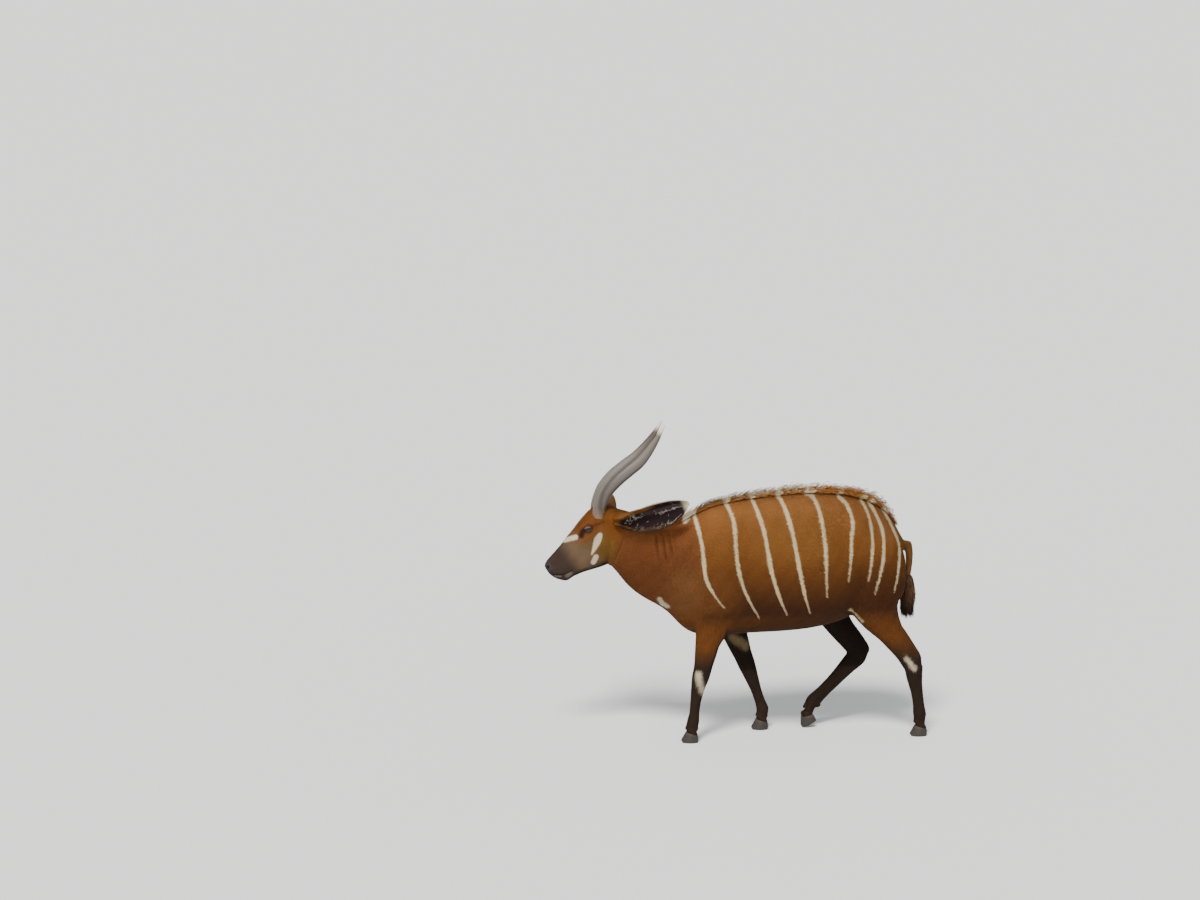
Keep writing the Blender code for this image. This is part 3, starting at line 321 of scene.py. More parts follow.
def headOff(rows):   # distance behind the plane between head and neck
    return ((rows[:, 0] + 0.562) - 0.38 * (rows[:, 2] - 0.985)) / 1.07


def isHead(rows):
    return headOff(rows) < 0


def earMask(rows):
    ears = [earParts(rows, side) for side in sides]
    return np.maximum(*(ramp(ear.share, 0.03, 0.12) * ear.near for ear in ears))


# skin: every flesh node in one closed surface

skinSize = {"grid": 0.0031, "swell": 0.0004, "turns": 62, "strength": 0.85, "triangles": 192000, "shade": 0.8,
            "fine": 0.45, "coarse": 0.8,   # how readily the head and the stripes are thinned, and the rest
            "trunkDepth": 0.004, "legDepth": 0.0022, "faceDepth": 0.001, "earDepth": 0.0002}
neckFolds = (   # creases that the turned head leaves in the neck: x and height, and how deep
    (((-0.404, 1.04), (-0.397, 0.97), (-0.388, 0.89)), 0.004),
    (((-0.372, 1.04), (-0.362, 0.96), (-0.35, 0.87)), 0.0042),
    (((-0.343, 1.03), (-0.331, 0.96), (-0.322, 0.9)), 0.003),
)
fleshNodes = ["head", "neck", "torso", "tail", "ear_left", "ear_right"]
fleshNodes += [f"{limb}_{side}_{part}" for limb in ("foreleg", "hindleg") for side in sides
               for part in ("upper", "lower")]
hoofNodes = [f"hoof_{limb}_{side}_{half}" for limb in ("fore", "hind") for side in sides
             for half in ("outer", "inner")]


def weldedNode(name):
    bm = bmesh.new()
    bm.from_mesh(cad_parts[name].data)
    bmesh.ops.remove_doubles(bm, verts=bm.verts, dist=1e-5)
    bm.normal_update()
    return bm


def lowerMane(rows):   # the solids' locks are taken back to the trunk's own top line
    top = trunkAt(rows[:, 0])
    mane = (rows[:, 0] > -0.53) & (np.abs(rows[:, 1]) < 0.036) & (rows[:, 2] > top - 0.001)
    rows[mane, 2] = top[mane] - 0.001
    return rows


def lowerTuft(rows):   # and the tail's tuft to the tail's own thickness
    low = rows[:, 2] < 0.765
    x = tailAt(rows[low, 2])
    half = np.interp(rows[low, 2], (0.6, 0.69, 0.765), (0.004, 0.013, 0.016))
    off = np.column_stack([rows[low, 0] - x, rows[low, 1]])
    reach = np.maximum(np.linalg.norm(off, axis=1), 1e-6)
    off *= np.minimum(1, half / reach)[:, None]
    rows[low, 0] = x + off[:, 0]
    rows[low, 1] = off[:, 1]
    rows[low, 2] = np.maximum(rows[low, 2], 0.61)
    return rows


def nearHooves(rows):
    mask = np.zeros(len(rows))
    for name in hoofNodes:
        low, high = (np.array(corner + middle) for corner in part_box(name))
        off = np.maximum(np.maximum(low - rows, rows - high), 0)
        mask = np.maximum(mask, fade(np.linalg.norm(off, axis=1), 0.004, 0.03))
    return mask


def legShare(rows):
    return fade(rows[:, 2], 0.44, 0.74)


def tailShare(rows):
    return ramp(rows[:, 0], 0.785, 0.815) * (np.abs(rows[:, 1]) < 0.07) * (rows[:, 2] > 0.55)


def joinedFlesh():
    joined = bmesh.new()
    for name in fleshNodes:
        bm = weldedNode(name)
        rows = np.array([v.co + v.normal * skinSize["swell"] for v in bm.verts]) + middleRow
        if name in ("neck", "torso"):
            rows = lowerMane(rows)
        if name == "tail":
            rows = lowerTuft(rows)
        for v, row in zip(bm.verts, rows - middleRow):
            v.co = row
        mesh = meshOf(bm, "part")
        joined.from_mesh(mesh)
        bpy.data.meshes.remove(mesh)
    return meshOf(joined, "skin")


def makeSkin():
    skin = addObject("skin", joinedFlesh())
    addGrid(skin, skinSize["grid"])
    mesh = shaded(skin)
    points, _ = meshArrays(mesh)
    edges = readRows(mesh.edges, "vertices", 2, np.int32)
    rows = points + middleRow
    head, ears, leg, hoofs = isHead(rows), earMask(rows), legShare(rows), nearHooves(rows)
    weight = np.where(head, 0.1, 1 - 0.8 * leg)   # how much each point is smoothed
    weight = np.where(tailShare(rows) > 0.3, 0.3, weight)
    weight = np.minimum(weight, 1 - 0.95 * ears)
    weight = np.minimum(weight, 1 - 0.97 * hoofs)
    weight = (weight * skinSize["strength"])[:, None]
    count = np.bincount(edges.ravel(), minlength=len(points))[:, None]
    for _ in range(skinSize["turns"]):
        total = np.column_stack([
            np.bincount(edges[:, 0], points[edges[:, 1], k], len(points))
            + np.bincount(edges[:, 1], points[edges[:, 0], k], len(points)) for k in range(3)])
        points += (total / count - points) * weight
    setPoints(mesh, points)
    _, normals = meshArrays(mesh)
    trunkDepth = skinSize["trunkDepth"]   # how far the skin lies under the coat's outside
    depth = np.where(head, skinSize["faceDepth"], trunkDepth + (skinSize["legDepth"] - trunkDepth) * leg)
    depth = depth + (skinSize["earDepth"] - depth) * ears
    depth = depth * (1 - hoofs)
    for line, deep in neckFolds:
        reach, share = lineDistance(rows[:, (0, 2)], line)
        near = (~head) * (ears < 0.1) * np.sin(np.pi * np.clip(share, 0.02, 0.98)) ** 0.7
        crease = np.exp(-(reach / 0.0055) ** 2) - 0.45 * np.exp(-((reach - 0.013) / 0.006) ** 2)
        depth = depth + near * deep * crease
    setPoints(mesh, points - normals * depth[:, None])
    fine, coarse = skinSize["fine"], skinSize["coarse"]
    marked = stripeMask(rows, normals, np.full(len(rows), -0.004)) > 0.2
    ease = np.where(head | (ears > 0.3) | marked, fine, coarse)
    group = skin.vertex_groups.new(name="thin")
    for value in (fine, coarse):
        group.add(np.nonzero(ease == value)[0].tolist(), value, "REPLACE")
    addThin(skin, skinSize["triangles"]).vertex_group = "thin"
    shaded(skin)
    keepLargest(skin)
    skin.vertex_groups.clear()
    skin.data.shade_smooth()
    return skin


def keepLargest(obj):
    mesh = obj.data
    edges = readRows(mesh.edges, "vertices", 2, np.int32)
    label = np.arange(len(mesh.vertices))
    while True:
        low = np.minimum(label[edges[:, 0]], label[edges[:, 1]])
        new = label.copy()
        np.minimum.at(new, edges[:, 0], low)
        np.minimum.at(new, edges[:, 1], low)
        new = new[new]
        if (new == label).all():
            break
        label = new
    names, sizes = np.unique(label, return_counts=True)
    if len(names) > 1:
        keep = names[sizes.argmax()]
        bm = bmesh.new()
        bm.from_mesh(mesh)
        bm.verts.ensure_lookup_table()
        drop = [bm.verts[i] for i in np.nonzero(label != keep)[0]]
        bmesh.ops.delete(bm, geom=drop, context="VERTS")
        bm.to_mesh(mesh)
        bm.free()
    print("skin parts", len(names), "triangles", len(mesh.polygons))


# markings and painted shade, in measured metres

coat = {
    "heights": (0.56, 0.64, 0.7, 0.76, 0.83, 0.9, 0.98, 1.06, 1.14, 1.2),
    "colours": ((0.02, 0.011, 0.006), (0.048, 0.019, 0.007), (0.084, 0.031, 0.008), (0.115, 0.042, 0.009),
                (0.165, 0.062, 0.011), (0.215, 0.084, 0.014), (0.255, 0.102, 0.018), (0.29, 0.12, 0.024),
                (0.33, 0.142, 0.032), (0.34, 0.15, 0.036)),
    "warmth": (0.95, 0.88, 1.05), "golden": (0.27, 0.12, 0.022), "neck": (0.205, 0.072, 0.018),
    "chest": (0.25, 0.108, 0.028), "shoulder": (0.185, 0.072, 0.014), "thigh": (0.066, 0.023, 0.006),
    "rump": (0.33, 0.155, 0.05), "tail": (0.21, 0.095, 0.028), "stripe": (0.8, 0.63, 0.37),
    "white": (0.66, 0.55, 0.38), "dark": (0.013, 0.007, 0.004), "cannon": (0.026, 0.015, 0.009),
    "forearm": (0.13, 0.043, 0.009), "olive": (0.2, 0.14, 0.07), "fold": (0.07, 0.022, 0.005),
}
stripes = (   # half width, and places from the back down as distance and height
    (0.008, ((-0.214, 1.109), (-0.211, 1.072), (-0.191, 0.973), (-0.184, 0.885), (-0.176, 0.814),
              (-0.144, 0.749), (-0.092, 0.68))),
    (0.0084, ((-0.069, 1.15), (-0.053, 1.12), (-0.038, 1.064), (-0.037, 0.966), (-0.029, 0.876),
              (-0.012, 0.803), (0.027, 0.713), (0.08, 0.622))),
    (0.0086, ((0.052, 1.172), (0.068, 1.141), (0.096, 1.051), (0.11, 0.966), (0.127, 0.862),
              (0.15, 0.78), (0.179, 0.706), (0.208, 0.64))),
    (0.0086, ((0.177, 1.179), (0.198, 1.154), (0.225, 1.065), (0.243, 0.966), (0.26, 0.863),
              (0.277, 0.785), (0.294, 0.72), (0.318, 0.648))),
    (0.0082, ((0.313, 1.184), (0.35, 1.171), (0.369, 1.118), (0.381, 1.032), (0.388, 0.94),
              (0.39, 0.815), (0.396, 0.726))),
    (0.0074, ((0.477, 1.165), (0.509, 1.136), (0.526, 1.074), (0.518, 0.986), (0.51, 0.895),
              (0.499, 0.794))),
    (0.0062, ((0.587, 1.146), (0.606, 1.104), (0.619, 1.031), (0.62, 0.949), (0.608, 0.845),
              (0.599, 0.786))),
    (0.007, ((0.625, 1.132), (0.654, 1.079), (0.678, 0.999), (0.672, 0.9), (0.651, 0.8),
              (0.632, 0.727))),
    (0.0064, ((0.695, 1.097), (0.733, 1.02), (0.757, 0.949), (0.752, 0.875), (0.741, 0.795),
              (0.726, 0.727))),
)
maneLight = ((-0.222, 0.9), (-0.07, 0.9), (-0.01, 0.5), (0.048, 0.9), (0.085, 0.45), (0.125, 0.6), (0.172, 0.9),
             (0.225, 0.5), (0.268, 0.6), (0.312, 0.8), (0.372, 0.3), (0.47, 0.4), (0.583, 0.25), (0.692, 0.2))
headMarks = {
    "foot": (0.044, 0.027, 0.02), "muzzle": (0.15, 0.095, 0.052), "front": (0.175, 0.055, 0.012),
    "crown": (0.19, 0.064, 0.011), "cheek": (0.165, 0.082, 0.018), "midline": (0.32, 0.165, 0.05),
    "jaw": (0.012, 0.008, 0.005), "lip": (0.34, 0.29, 0.25), "cream": (0.7, 0.58, 0.4),
    "lidShade": (0.012, 0.008, 0.007), "paintedNoseHighlight": (0.048, 0.036, 0.038), "nostril": (0.005, 0.004, 0.004),
    "mouth": (0.008, 0.006, 0.006),
}
earMarks = {"back": (0.22, 0.09, 0.024), "inside": (0.022, 0.011, 0.012), "rim": (0.6, 0.5, 0.33),
            "low": (0.05, 0.026, 0.012), "mauve": (0.095, 0.06, 0.062)}
legHeights = {   # up to where each leg is nearly black, and from where it is brown
    "foreleg_left": (0.37, 0.47), "foreleg_right": (0.37, 0.47),
    "hindleg_left": (0.38, 0.5), "hindleg_right": (0.4, 0.52),
}
lightSpots = (   # light patches on the legs and underneath: points, half width, colour
    (((-0.262, -0.135, 0.6), (-0.268, -0.13, 0.56)), 0.01, "olive"),
    (((-0.256, -0.135, 0.345), (-0.264, -0.13, 0.3)), 0.009, "white"),
    (((-0.204, -0.143, 0.338), (-0.196, -0.135, 0.3), (-0.182, -0.118, 0.25)), 0.017, "white"),
    (((-0.01, 0.067, 0.465), (0.06, 0.072, 0.42)), 0.024, "olive"),
    (((0.799, -0.151, 0.387), (0.838, -0.15, 0.337)), 0.013, "white"),
    (((0.521, -0.168, 0.643), (0.579, -0.164, 0.582)), 0.008, "stripe"),
    (((0.4, 0.07, 0.3), (0.385, 0.07, 0.22)), 0.012, "white"),
)


def flat(colour, rows):
    return np.tile(np.array(colour), (len(rows), 1))


def mixIn(colours, colour, mask):
    mask = np.clip(np.broadcast_to(mask, len(colours)), 0, 1)
    return colours + (np.asarray(colour, float) - colours) * mask[:, None]


def layered(colours, palette, layers):   # named colours of the palette over each other, each with its mask
    for name, mask in layers:
        colours = mixIn(colours, palette[name], mask)
    return colours


def stripeMask(rows, normals, jitter):
    mask = np.zeros(len(rows))
    for side in (-1, 1):
        mine = rows[:, 1] * side > -0.004
        profile = rows[mine][:, (0, 2)].copy()
        if side > 0:   # the far side's stripes are of the same kind, not the same
            profile[:, 0] += 0.01 * np.sin(profile[:, 0] * 9 + 1) + 0.006 * np.sin(profile[:, 1] * 14)
        best = np.zeros(mine.sum())
        for half, line in stripes:
            near = np.abs(profile[:, 0] - line[3][0]) < 0.16
            reach, share = lineDistance(profile[near], eased(line, 3))
            wide = half * (1 - 0.55 * ramp(share, 0.62, 1.0)) * (1 + 0.1 * np.sin(share * 23 + half * 9e3))
            got = fade(reach + jitter[mine][near], wide - 0.0012, wide + 0.002)
            best[near] = np.maximum(best[near], got * (1 - 0.45 * ramp(share, 0.75, 1.0)))
        outside = ramp(normals[mine, 1] * side, -0.15, 0.1) + (rows[mine, 2] > 1.02)
        mask[mine] = np.maximum(mask[mine], best * np.clip(outside, 0, 1))
    return mask * (~isHead(rows))


def headColours(rows, normals, jitter):
    off = rows - noseRow
    s, t, y = off @ axisRow, off @ riseRow, np.abs(off[:, 1])
    profile, space = np.column_stack([s, t]), np.column_stack([s, t, y])

    def line(low, high, *points, places=profile):   # 1 at a line, fading with the distance from it
        return fade(lineDistance(places, points)[0] + jitter, low, high)

    # jaw: painted shade on the jaw's downward-facing faces
    jaw = ramp(-(normals @ riseRow), 0.35, 0.8) * (t < -0.02) * fade(s, 0.3, 0.38)
    cheek, share = lineDistance(profile, ((0.297, 0.004), (0.275, -0.01), (0.255, -0.026), (0.214, -0.056)))
    wide = 0.0155 * np.sin(np.pi * np.clip(0.22 + 0.74 * share, 0, 1)) + 0.001
    hole = np.linalg.norm(space - (0.0075, 0.004, 0.0275), axis=1)
    mouth, _ = lineDistance(profile, ((-0.004, -0.03), (0.01, -0.04), (0.028, -0.053), (0.055, -0.066),
                                      (0.076, -0.071), (0.094, -0.072)))
    return layered(flat(headMarks["foot"], rows), headMarks, (
        ("muzzle", ramp(s, 0.085, 0.165)),
        ("front", ramp(s, 0.155, 0.235) * ramp(t, -0.02, 0.045)),
        ("cheek", ramp(s, 0.19, 0.28) * fade(t, -0.01, 0.045)),
        ("crown", ramp(s, 0.29, 0.36)),
        ("jaw", jaw * ramp(s, 0.06, 0.12)),
        ("midline", 0.65 * fade(y + jitter, 0.006, 0.013) * band(s, 0.16, 0.2, 0.3, 0.35) * (t > 0.03)),
        ("lidShade", 0.9 * line(0.004, 0.019, (0.222, 0.048), (0.236, 0.06), (0.256, 0.064)) * (y > 0.022)),
        ("lidShade", 0.6 * line(0.016, 0.026, (0.269, 0.058), (0.271, 0.059)) * (y > 0.03)),
        ("lidShade", 0.4 * line(0.002, 0.012, (0.285, 0.06), (0.345, 0.046)) * (y > 0.035)),
        ("cream", line(0.0095, 0.015, (0.143, 0.061, 0), (0.15, 0.061, 0.011), (0.196, 0.054, 0.044),
                       places=space)),
        ("cream", fade(cheek + jitter - wide, -0.003, 0.003) * (y > 0.018)),
        ("cream", line(0.0095, 0.015, (0.224, -0.078), (0.2, -0.096)) * (y > 0.01)),
        # a painted highlight on the top of the nose pad
        ("paintedNoseHighlight", fade(s, 0.02, 0.034) * ramp(t, -0.024, -0.012)),
        ("lip", 0.3 * line(0.002, 0.008, (0.012, -0.052), (0.034, -0.068))),
        ("lip", 0.32 * line(0.003, 0.018, (0.062, -0.082), (0.078, -0.082))),
        # the nostril openings are painted near black: painted shade in the holes
        ("nostril", fade(hole, 0.0045, 0.01)),
        # a dark line where the lips meet: painted shade in the crease
        ("mouth", fade(mouth, 0.0015, 0.004)),
    ))


def earColours(rows, normals, side, jitter):
    ear = earParts(rows, side)
    share, upper = ear.share, ear.upper + jitter * 14
    inward = ramp(normals @ ear.mouth, -0.05, 0.25)
    # shine: a painted sheen across the inside of the ear, laid on in mauve
    shine = band(upper, -0.1, 0.15, 0.25, 0.45) * ramp(share, 0.3, 0.45)
    rim = ramp(upper, 0.8, 0.93) * ramp(share, 0.32, 0.5)
    rim = np.maximum(rim, ramp(share + jitter * 4, 0.88, 0.96))
    if side == "right":
        rim = np.maximum(rim, ramp(share + jitter * 10, 0.7, 0.95) * 0.75)
    return layered(flat(earMarks["back"], rows), earMarks, (
        ("rim", 0.35 * ramp(share, 0.75, 1.0)),
        ("inside", inward),
        ("mauve", 0.6 * inward * shine),
        ("back", ramp(upper + 0.9 * (0.45 - share), 0.35, 0.6) * fade(share, 0.45, 0.62)),
        ("rim", rim),
        ("low", ramp(-upper, 0.72, 0.9) * fade(share, 0.7, 0.88)),
    ))


def legColours(colours, rows, normals, jitter):
    x, y, z = rows.T
    for name, heights in legHeights.items():
        fore = name.startswith("fore")
        side = sides[name.split("_")[1]]
        mine = (y * side > 0) & ((x < 0.3) == fore)
        inner = ramp(-normals[:, 1] * side, -0.15, 0.35)
        rear = ramp(normals[:, 0], 0.45, 0.85) * fore
        paint = between(z, heights, (coat["cannon"], coat["forearm"]))
        # inner and rear faces are darkened: painted shade between the legs and under the body
        paint = mixIn(paint, coat["dark"], np.maximum(inner, rear) * (z > 0.3))
        colours = mixIn(colours, paint, mine * fade(z + jitter * 6, 0.56, 0.68))
    return colours


def markings(rows, normals):   # the coat's colour, with painted shade in it
    x, y, z = rows.T
    jitter = np.random.default_rng(4).normal(0, 0.0009, len(rows))
    profile = rows[:, (0, 2)]
    body = ~isHead(rows)
    neck = mixIn(flat(coat["neck"], rows), coat["chest"], ramp(x, -0.4, -0.28) * fade(z, 0.76, 0.92))
    neck *= (0.8 + 0.35 * ramp(z, 0.8, 1.05))[:, None]
    colours = layered(between(z, coat["heights"], coat["colours"]), coat, (
        ("golden", 0.7 * band(x, 0.02, 0.16, 0.34, 0.46) * band(z, 0.86, 0.96, 1.06, 1.14)),
        # painted shade on the lower thigh, behind the flank
        ("thigh", 0.62 * ramp(x, 0.44, 0.58) * fade(z, 0.74, 0.98)),
        ("rump", 0.5 * ramp(x, 0.58, 0.7) * ramp(z, 0.92, 1.04)),
        ("shoulder", 0.7 * fade(x, -0.1, 0.04) * band(z, 0.6, 0.68, 0.78, 0.9)),
    ))
    colours = mixIn(colours, neck, fade(x, -0.26, -0.15))
    # painted shade along the neck's creases
    for line, deep in neckFolds:
        reach, share = lineDistance(profile, line)
        near = np.sin(np.pi * np.clip(share, 0.02, 0.98)) * body
        colours = mixIn(colours, coat["fold"], 0.45 * near * np.exp(-(reach / 0.005) ** 2))
    colours = legColours(colours * coat["warmth"], rows, normals, jitter)
    crescent, _ = lineDistance(profile, ((-0.384, 0.7), (-0.368, 0.675), (-0.346, 0.662)))
    nape, _ = lineDistance(profile, ((-0.262, 1.062), (-0.235, 1.085), (-0.212, 1.105)))
    colours = layered(colours, coat, (
        # faces turned downwards are darkened: painted shade under the trunk
        ("dark", 0.6 * ramp(-normals[:, 2], 0.35, 0.85) * (z < 0.86) * (x > -0.22) * (x < 0.78)),
        ("stripe", 0.95 * stripeMask(rows, normals, jitter)),
        ("white", fade(crescent + jitter * 2, 0.006, 0.016) * body * (np.abs(y) < 0.1)),
        ("white", fade(nape + jitter, 0.008, 0.014) * (np.abs(y) < 0.055)),
    ))
    for line, half, paint in lightSpots:
        reach, _ = lineDistance(rows, line)
        colours = mixIn(colours, coat[paint], 0.8 * fade(reach + jitter * 3, half * 0.3, half * 1.5))
    tail = mixIn(flat(coat["tail"], rows), coat["dark"], fade(z, 0.66, 0.8))
    colours = mixIn(colours, tail, tailShare(rows))
    head = headOff(rows) < 0.035
    paint = headColours(rows[head], normals[head], jitter[head])
    colours[head] = mixIn(colours[head], paint, fade(headOff(rows[head]) + jitter[head] * 5, -0.045, 0.03))
    for side in sides:
        ear = earParts(rows, side)
        mine = ear.near & (ear.share > 0.02)
        paint = earColours(rows[mine], normals[mine], side, jitter[mine])
        colours[mine] = mixIn(colours[mine], paint, ramp(ear.share[mine], 0.03, 0.11))
    patches = 0.5 * np.sin(x * 31 + y * 17) * np.sin(z * 37 + x * 11) + 0.5 * np.sin(x * 83 - z * 61 + y * 40)
    return np.clip(colours * (1 + 0.07 * patches)[:, None], 0.004, 0.9)


def coatLie(rows, normals):   # which way the hair lies, along the surface
    x, y, z = rows.T
    lie = flat((1.0, 0.0, -0.38), rows)
    for way, share in (
        ((0.72, 0.0, -0.7), fade(x, -0.3, -0.1)),
        ((0.55, 0.0, -0.85), ramp(x, 0.55, 0.72)),
        ((0.55, 0.0, -0.8), ramp(-z, -0.84, -0.72)),
        ((0.12, 0.0, -1.0), legShare(rows)),
        ((0.05, 0.0, -1.0), tailShare(rows)),
        (axisRow + 0.12 * riseRow, fade(headOff(rows), -0.06, 0.02)),
    ):
        lie = mixIn(lie, way, share)
    for side in sides:
        ear = earParts(rows, side)
        mine = (ear.near & (ear.share > 0.04))[:, None]
        lie = np.where(mine, ear.run + ear.edge * np.sign(ear.across)[:, None] * 0.25, lie)
    return squareTo(lie, normals)


lengths = {"trunk": 0.0115, "neck": 0.0105, "leg": 0.0062, "tail": 0.01, "muzzle": 0.0022, "crown": 0.0062,
           "ear": 0.006}


def coatLength(rows):
    length = np.where(rows[:, 0] < -0.22, lengths["neck"], lengths["trunk"])
    length += (lengths["leg"] - length) * legShare(rows)
    length = np.where(tailShare(rows) > 0.4, lengths["tail"], length)
    along = ramp((rows - noseRow) @ axisRow, 0.05, 0.34)
    face = lengths["muzzle"] + (lengths["crown"] - lengths["muzzle"]) * along
    length = face + (length - face) * ramp(headOff(rows), -0.07, 0.035)
    length += (lengths["ear"] - length) * earMask(rows)
    return length * (1 - 0.45 * nearHooves(rows))


skin = makeSkin()
skinPoints, skinNormals = meshArrays(skin.data)
skinRows = skinPoints + middleRow
print("skin made")
# the skin is painted a fifth darker than the hair: painted shade beneath the coat
addColours(skin.data, "coatColour", markings(skinRows, skinNormals) * skinSize["shade"])
print("markings laid on the skin")


# shared effects and materials

grain = {"coat": (420, 0.16), "skin": (900, 0.22), "horn": (260, 0.16), "hoof": (420, 0.22)}   # scale, contrast
finishes = {   # painted layer, grain, roughness, specular level, bump
    "coatSkin": ("coatColour", "skin", 0.85, 0.08, 0.35),
    "coatHair": ("coatColour", "coat", 0.78, 0.1, 0),
    "hornKeratin": ("hornColour", "horn", 0.52, 0.3, 0.35),
    "hoofKeratin": ("hoofColour", "hoof", 0.58, 0.3, 0.3),
    "lidSkin": ("lidColour", "skin", 0.75, 0.15, 0.25),
    "wetEye": ("eyeColour", "hoof", 0.1, 0.3, 0),
}


def addSockets(tree, where, **kinds):
    for name, kind in kinds.items():
        tree.interface.new_socket(name, in_out=where, socket_type="NodeSocket" + kind)


def addNode(tree, kind, inputs=None, **settings):   # takes values or sockets, and gives back its outputs
    node = tree.nodes.new(kind)
    for key, value in settings.items():
        setattr(node, key, value)
    for key, value in (inputs or {}).items():
        if isinstance(value, bpy.types.NodeSocket):
            tree.links.new(value, node.inputs[key])
        else:
            node.inputs[key].default_value = value
    return node.outputs


def maths(tree, operation, *values):
    return addNode(tree, "ShaderNodeMath", dict(enumerate(values)), operation=operation)[0]


def grainGroup():   # fine uneven colour and a height for bump, on the object's own coordinates
    group = bpy.data.node_groups.new("fineGrain", "ShaderNodeTree")
    addSockets(group, "INPUT", Colour="Color", Scale="Float", Contrast="Float")
    addSockets(group, "OUTPUT", Colour="Color", Height="Float")
    entry = addNode(group, "NodeGroupInput")
    place = addNode(group, "ShaderNodeTexCoord")["Object"]
    noise = addNode(group, "ShaderNodeTexNoise", {"Vector": place, "Scale": entry["Scale"], "Detail": 3})["Fac"]
    contrast = maths(group, "MULTIPLY", entry["Contrast"], 4.0)
    scaled = maths(group, "MULTIPLY_ADD", maths(group, "SUBTRACT", noise, 0.5), contrast, 1.0)
    tinted = addNode(group, "ShaderNodeVectorMath", {0: entry["Colour"], "Scale": scaled}, operation="SCALE")[0]
    addNode(group, "NodeGroupOutput", {"Colour": tinted, "Height": noise})
    return group


fineGrain = grainGroup()


def paintedMaterial(name, layer, kind, roughness, specular, bump):
    material = bpy.data.materials.new(name)
    material.use_nodes = True
    tree = material.node_tree
    shader = tree.nodes["Principled BSDF"].inputs
    shader["Roughness"].default_value = roughness
    shader["Specular IOR Level"].default_value = specular
    colour = addNode(tree, "ShaderNodeAttribute", attribute_name=layer)["Color"]
    scale, contrast = grain[kind]
    effect = addNode(tree, "ShaderNodeGroup", {"Colour": colour, "Scale": scale, "Contrast": contrast},
                     node_tree=fineGrain)
    tree.links.new(effect["Colour"], shader["Base Color"])
    if bump:
        relief = {"Strength": bump, "Distance": 0.001, "Height": effect["Height"]}
        tree.links.new(addNode(tree, "ShaderNodeBump", relief)[0], shader["Normal"])
    if name == "coatHair":   # hair is lit mostly as the skin below it
        root = addNode(tree, "ShaderNodeAttribute", attribute_name="rootNormal")["Vector"]
        own = addNode(tree, "ShaderNodeNewGeometry")["Normal"]
        mixed = addNode(tree, "ShaderNodeMix", {0: 0.72, 4: own, 5: root}, data_type="VECTOR")[1]
        even = addNode(tree, "ShaderNodeVectorMath", {0: mixed}, operation="NORMALIZE")[0]
        tree.links.new(even, shader["Normal"])
    return material


materials = {name: paintedMaterial(name, *values) for name, values in finishes.items()}


def finished(obj, material, slot, *nodes):
    obj.data.materials.clear()
    obj.data.materials.append(materials[material])
    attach(obj, "root")
    if nodes:
        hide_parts(*nodes)


finished(skin, "coatSkin", "coat", *fleshNodes)
print("skin finished")


# horns, eyes, lids and hooves

def addTubes(name, tubes, layer, colours, material, slot, *nodes):   # closed tubes in one painted piece
    points, faces = [], []
    for rings in tubes:
        ring(points, faces, rings)
    mesh = meshFrom(name, np.array(points) - middleRow, faces)
    addColours(mesh, layer, np.vstack(colours))
    outward(mesh)
    finished(addObject(name, mesh), material, slot, *nodes)


horn = {
    "rows": ((-0.672, 0.038, 1.095, 0.027), (-0.668, 0.041, 1.13, 0.03), (-0.659, 0.044, 1.164, 0.031),
             (-0.635, 0.05, 1.218, 0.031), (-0.587, 0.058, 1.273, 0.03), (-0.528, 0.065, 1.321, 0.027),
             (-0.475, 0.069, 1.363, 0.024), (-0.432, 0.067, 1.414, 0.019), (-0.398, 0.06, 1.464, 0.014),
             (-0.374, 0.054, 1.505, 0.009), (-0.357, 0.05, 1.537, 0.004)),
    "keel": 0.16, "twist": 200, "start": 60, "around": 28, "steps": 8, "ridge": 0.014,
    "body": (0.09, 0.071, 0.055), "upper": (0.14, 0.12, 0.098), "keelLine": (0.022, 0.017, 0.014),
    "under": (0.026, 0.02, 0.017), "mauve": (0.112, 0.092, 0.088), "tip": (0.62, 0.55, 0.4),
    "base": (0.19, 0.115, 0.066),
}


def makeHorn(side):
    rows = eased(horn["rows"], horn["steps"])
    places = rows[:, :3] * (1, sides[side], 1)
    turns = np.arange(horn["around"]) * 2 * math.pi / horn["around"]
    rings, colours = [], []
    last = len(rows) - 1
    for i, place in enumerate(places):
        share = i / last
        run = unit(places[min(i + 1, last)] - places[max(i - 1, 0)])
        fore = unit(np.cross((0, 1, 0), run))
        outer = np.cross(run, fore) * sides[side]
        near = np.cos((turns - math.radians(horn["start"] + horn["twist"] * share)) / 2) ** 12   # to the keel
        wave = math.sin(i * 1.9) + 0.5 * math.sin(i * 0.83)
        reach = rows[i, 3] * (1 + horn["keel"] * near + horn["ridge"] * wave * max(0, 1 - share / 0.55))
        rings.append(place + around(fore, outer * 0.92, horn["around"]) * reach[:, None])
        way = around(fore, outer, horn["around"])
        colours.append(layered(flat(horn["body"], turns), horn, (
            ("mauve", 0.7 * max(0, 1 - abs(share - 0.45) / 0.3)),
            # upward faces lighter and downward faces darker: painted light on top, painted shade beneath
            ("upper", 0.85 * ramp(way[:, 2] - 0.5 * way[:, 0], 0.25, 0.95)),
            ("under", 0.8 * ramp(-way[:, 2] + 0.4 * way[:, 0], 0.3, 0.95)),
            ("keelLine", 0.65 * ramp(near, 0.78, 0.97) * (share < 0.85)),
            ("base", 0.7 * max(0, 1 - share / 0.16)),
            ("tip", ramp(share, 0.84, 0.93)),
        )))
    addTubes("hornKeeled_" + side, [rings], "hornColour", colours, "hornKeratin", "horn", "horn_" + side)


